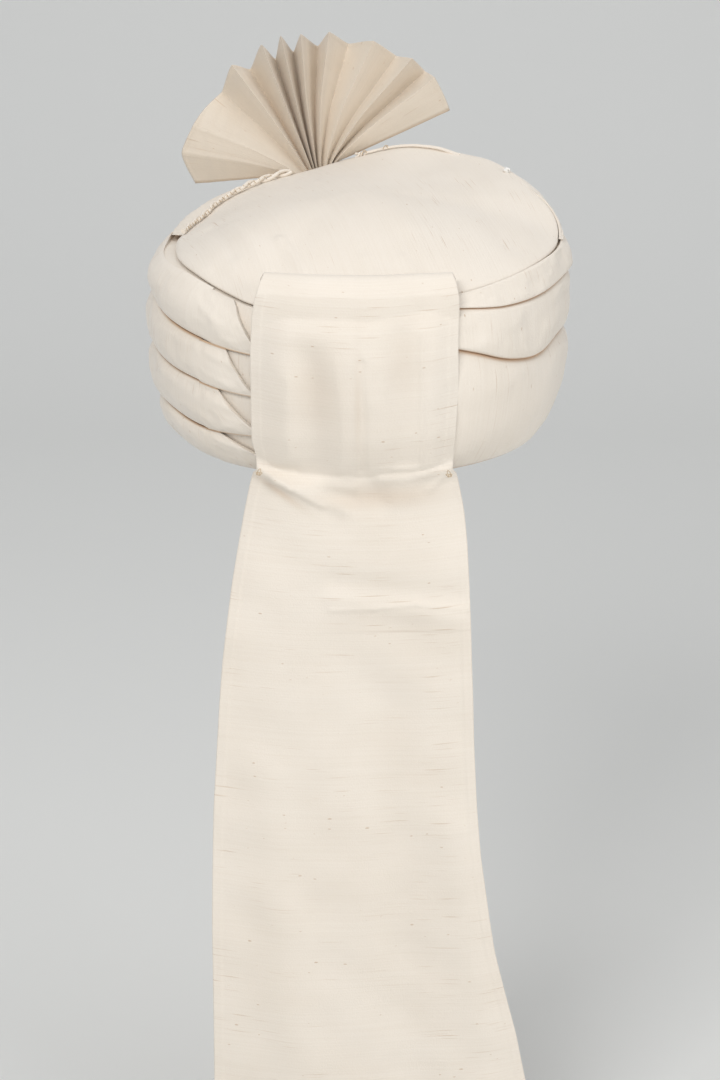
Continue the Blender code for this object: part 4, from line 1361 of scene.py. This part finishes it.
class PagriStage(bpy.types.PropertyGroup):
    floor_height: number_prop("Floor height", "Height of the floor", -0.46, -10.0, 10.0, unit="LENGTH")
    # The floor and wall colours are the two ends of the backdrop's painted light, which grows lighter
    # with distance.
    floor_color: color_prop("Floor colour", "Colour of the floor", (0.77, 0.77, 0.75))
    wall_color: color_prop("Wall colour", "Colour of the backdrop behind", (0.88, 0.88, 0.86))
    key_power: number_prop("Key light", "Power of the main light in watts", 27.0)
    fill_power: number_prop("Fill light", "Power of the fill light in watts", 16.0)
    top_power: number_prop("Top light", "Power of the light above in watts", 12.0)
    sky: number_prop("Surroundings", "Strength of the light all round", 0.40)


class PagriCrownOperator(bpy.types.Operator):
    """Build the domed crown"""

    bl_idname = "pagri.crown"
    bl_label = "Crown"

    def execute(self, context):
        crown = dressed(crown_piece(context.scene.pagri_crown), "crown_cap")
        return {"FINISHED"}


class PagriWrapsOperator(bpy.types.Operator):
    """Build the padded wraps round the body"""

    bl_idname = "pagri.wraps"
    bl_label = "Wraps"

    def execute(self, context):
        settings = context.scene.pagri_wraps
        pieces = wrap_pieces(settings) + [under_piece(settings), band_piece(settings)]
        nodes = ("wrap_1", "wrap_2", "wrap_3", "wrap_4", "under_wrap", "front_band")
        for piece, node in zip(pieces, nodes):
            dressed(piece, node)
        return {"FINISHED"}


class PagriFanOperator(bpy.types.Operator):
    """Build the pleated fan"""

    bl_idname = "pagri.fan"
    bl_label = "Fan"

    def execute(self, context):
        settings = context.scene.pagri_fan
        # The fan gets a darker copy of the silk as painted shade.
        fan = dressed(fan_piece(settings), "turra_fan", silk("stiffened_silk", settings.painted_shade_tint))
        return {"FINISHED"}


class PagriTailOperator(bpy.types.Operator):
    """Build the panel over the back and the hanging tail"""

    bl_idname = "pagri.tail"
    bl_label = "Tail"

    def execute(self, context):
        tail = dressed(tail_piece(context.scene.pagri_tail), "tail")
        return {"FINISHED"}


class PagriHemsOperator(bpy.types.Operator):
    """Build the twisted hem and the piping along the ridge, and the sewing threads"""

    bl_idname = "pagri.hems"
    bl_label = "Hems and threads"

    def execute(self, context):
        look = context.scene.pagri_thread
        rope("twisted_hem", twist_lines(look), "ridge_twist", look.strand, look.seed)
        rope("double_piping", piping_lines(), "ridge_piping", PIPING_STRAND, look.seed + 1)
        thread, _ = new_material("sewing_thread", look.color, THREAD_ROUGHNESS)
        white, _ = new_material("white_thread", look.knot_color, THREAD_ROUGHNESS)
        for name, lines, material, radius in (
            ("cross_stitches", cross_stitch_lines(), thread, look.radius),
            ("tack_threads", tack_lines(), thread, look.radius),
            ("thread_knot", knot_lines(), white, look.radius * 3),
        ):
            values = {"Radius": radius, "Unevenness": THREAD_UNEVENNESS, "Seed": float(look.seed)}
            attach(grown(path_object(name, lines), strand_tree(material), values), BODY)
        values = {"Spacing": look.stitch_spacing, "Length": look.stitch_length,
                  "Thickness": look.radius, "Slant": STITCH_SLANT, "Seed": look.seed}
        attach(grown(path_object("hem_stitches", whip_lines()), stitch_tree(thread), values), BODY)
        return {"FINISHED"}


class PagriStageOperator(bpy.types.Operator):
    """Set the floor, the backdrop, the lights and the camera"""

    bl_idname = "pagri.stage"
    bl_label = "Stage"

    def execute(self, context):
        look = context.scene.pagri_stage
        near, bend_from, bend, top, half_width = BACKDROP
        profile = [(near, 0.0), (bend_from, 0.0)]
        for angle in np.radians(np.linspace(0.0, 90.0, BACKDROP_STEPS))[1:]:
            profile.append((bend_from + bend * math.sin(angle), bend - bend * math.cos(angle)))
        profile.append((bend_from + bend, top))
        points = [(x, y, look.floor_height + z) for x in (-half_width, half_width) for y, z in profile]
        count = len(profile)
        faces = [(k, k + count, k + count + 1, k + 1) for k in range(count - 1)]
        mesh = bpy.data.meshes.new("backdrop")
        mesh.from_pydata(points, [], faces)
        mesh.shade_smooth()
        mesh.materials.append(backdrop_material(look.floor_color, look.wall_color))
        backdrop = bpy.data.objects.new("backdrop", mesh)
        context.scene.collection.objects.link(backdrop)
        for name, place, size in LIGHTS:
            light = bpy.data.lights.new(name + "_light", "AREA")
            light.shape = "SQUARE"
            light.size = size
            light.energy = getattr(look, name + "_power")
            lamp = bpy.data.objects.new(name + "_light", light)
            lamp.location = place
            lamp.rotation_euler = (Vector(LIT_PLACE) - Vector(place)).to_track_quat("-Z", "Y").to_euler()
            context.scene.collection.objects.link(lamp)
        world = bpy.data.worlds.new("pale_surroundings")
        world.use_nodes = True
        sky = world.node_tree.nodes["Background"].inputs
        sky["Color"].default_value = SKY_COLOR
        sky["Strength"].default_value = look.sky
        context.scene.world = world
        camera = bpy.data.cameras.new("camera")
        camera.lens = LENS
        camera.clip_start = NEAREST_SEEN
        eye = bpy.data.objects.new("camera", camera)
        eye.location = CAMERA_PLACE
        eye.rotation_euler = (math.radians(CAMERA_TILT), 0.0, 0.0)
        context.scene.collection.objects.link(eye)
        context.scene.camera = eye
        context.scene.view_settings.view_transform = "Standard"
        return {"FINISHED"}


GROUPS = (
    ("pagri_silk", PagriSilk, "Silk"),
    ("pagri_crown", PagriCrown, "Crown"),
    ("pagri_wraps", PagriWraps, "Wraps"),
    ("pagri_fan", PagriFan, "Fan"),
    ("pagri_tail", PagriTail, "Tail"),
    ("pagri_thread", PagriThread, "Hems and threads"),
    ("pagri_stage", PagriStage, "Stage"),
)
OPERATORS = (
    PagriCrownOperator, PagriWrapsOperator, PagriFanOperator, PagriTailOperator, PagriHemsOperator,
    PagriStageOperator,
)


class PagriPanel(bpy.types.Panel):
    """Lists the turban's settings and the operators that build it"""

    bl_idname = "PAGRI_PT_main"
    bl_label = "Tied Turban Pagri"
    bl_space_type = "VIEW_3D"
    bl_region_type = "UI"
    bl_category = "Pagri"

    def draw(self, context):
        layout = self.layout
        for attribute, group, label in GROUPS:
            box = layout.box()
            box.label(text=label)
            for name in group.__annotations__:
                box.prop(getattr(context.scene, attribute), name)
        for operator in OPERATORS:
            layout.operator(operator.bl_idname)


def register():
    """Adds the settings, the operators and the panel."""
    for attribute, group, _ in GROUPS:
        bpy.utils.register_class(group)
        setattr(bpy.types.Scene, attribute, PointerProperty(type=group))
    for operator in OPERATORS:
        bpy.utils.register_class(operator)
    bpy.utils.register_class(PagriPanel)


def unregister():
    """Takes them out again."""
    bpy.utils.unregister_class(PagriPanel)
    for operator in reversed(OPERATORS):
        bpy.utils.unregister_class(operator)
    for attribute, group, _ in reversed(GROUPS):
        delattr(bpy.types.Scene, attribute)
        bpy.utils.unregister_class(group)


def main():
    """Builds every piece and the stage."""
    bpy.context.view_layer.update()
    register()
    bpy.ops.pagri.crown()
    bpy.ops.pagri.wraps()
    bpy.ops.pagri.fan()
    bpy.ops.pagri.tail()
    bpy.ops.pagri.hems()
    bpy.ops.pagri.stage()


if __name__ == "__main__":
    main()
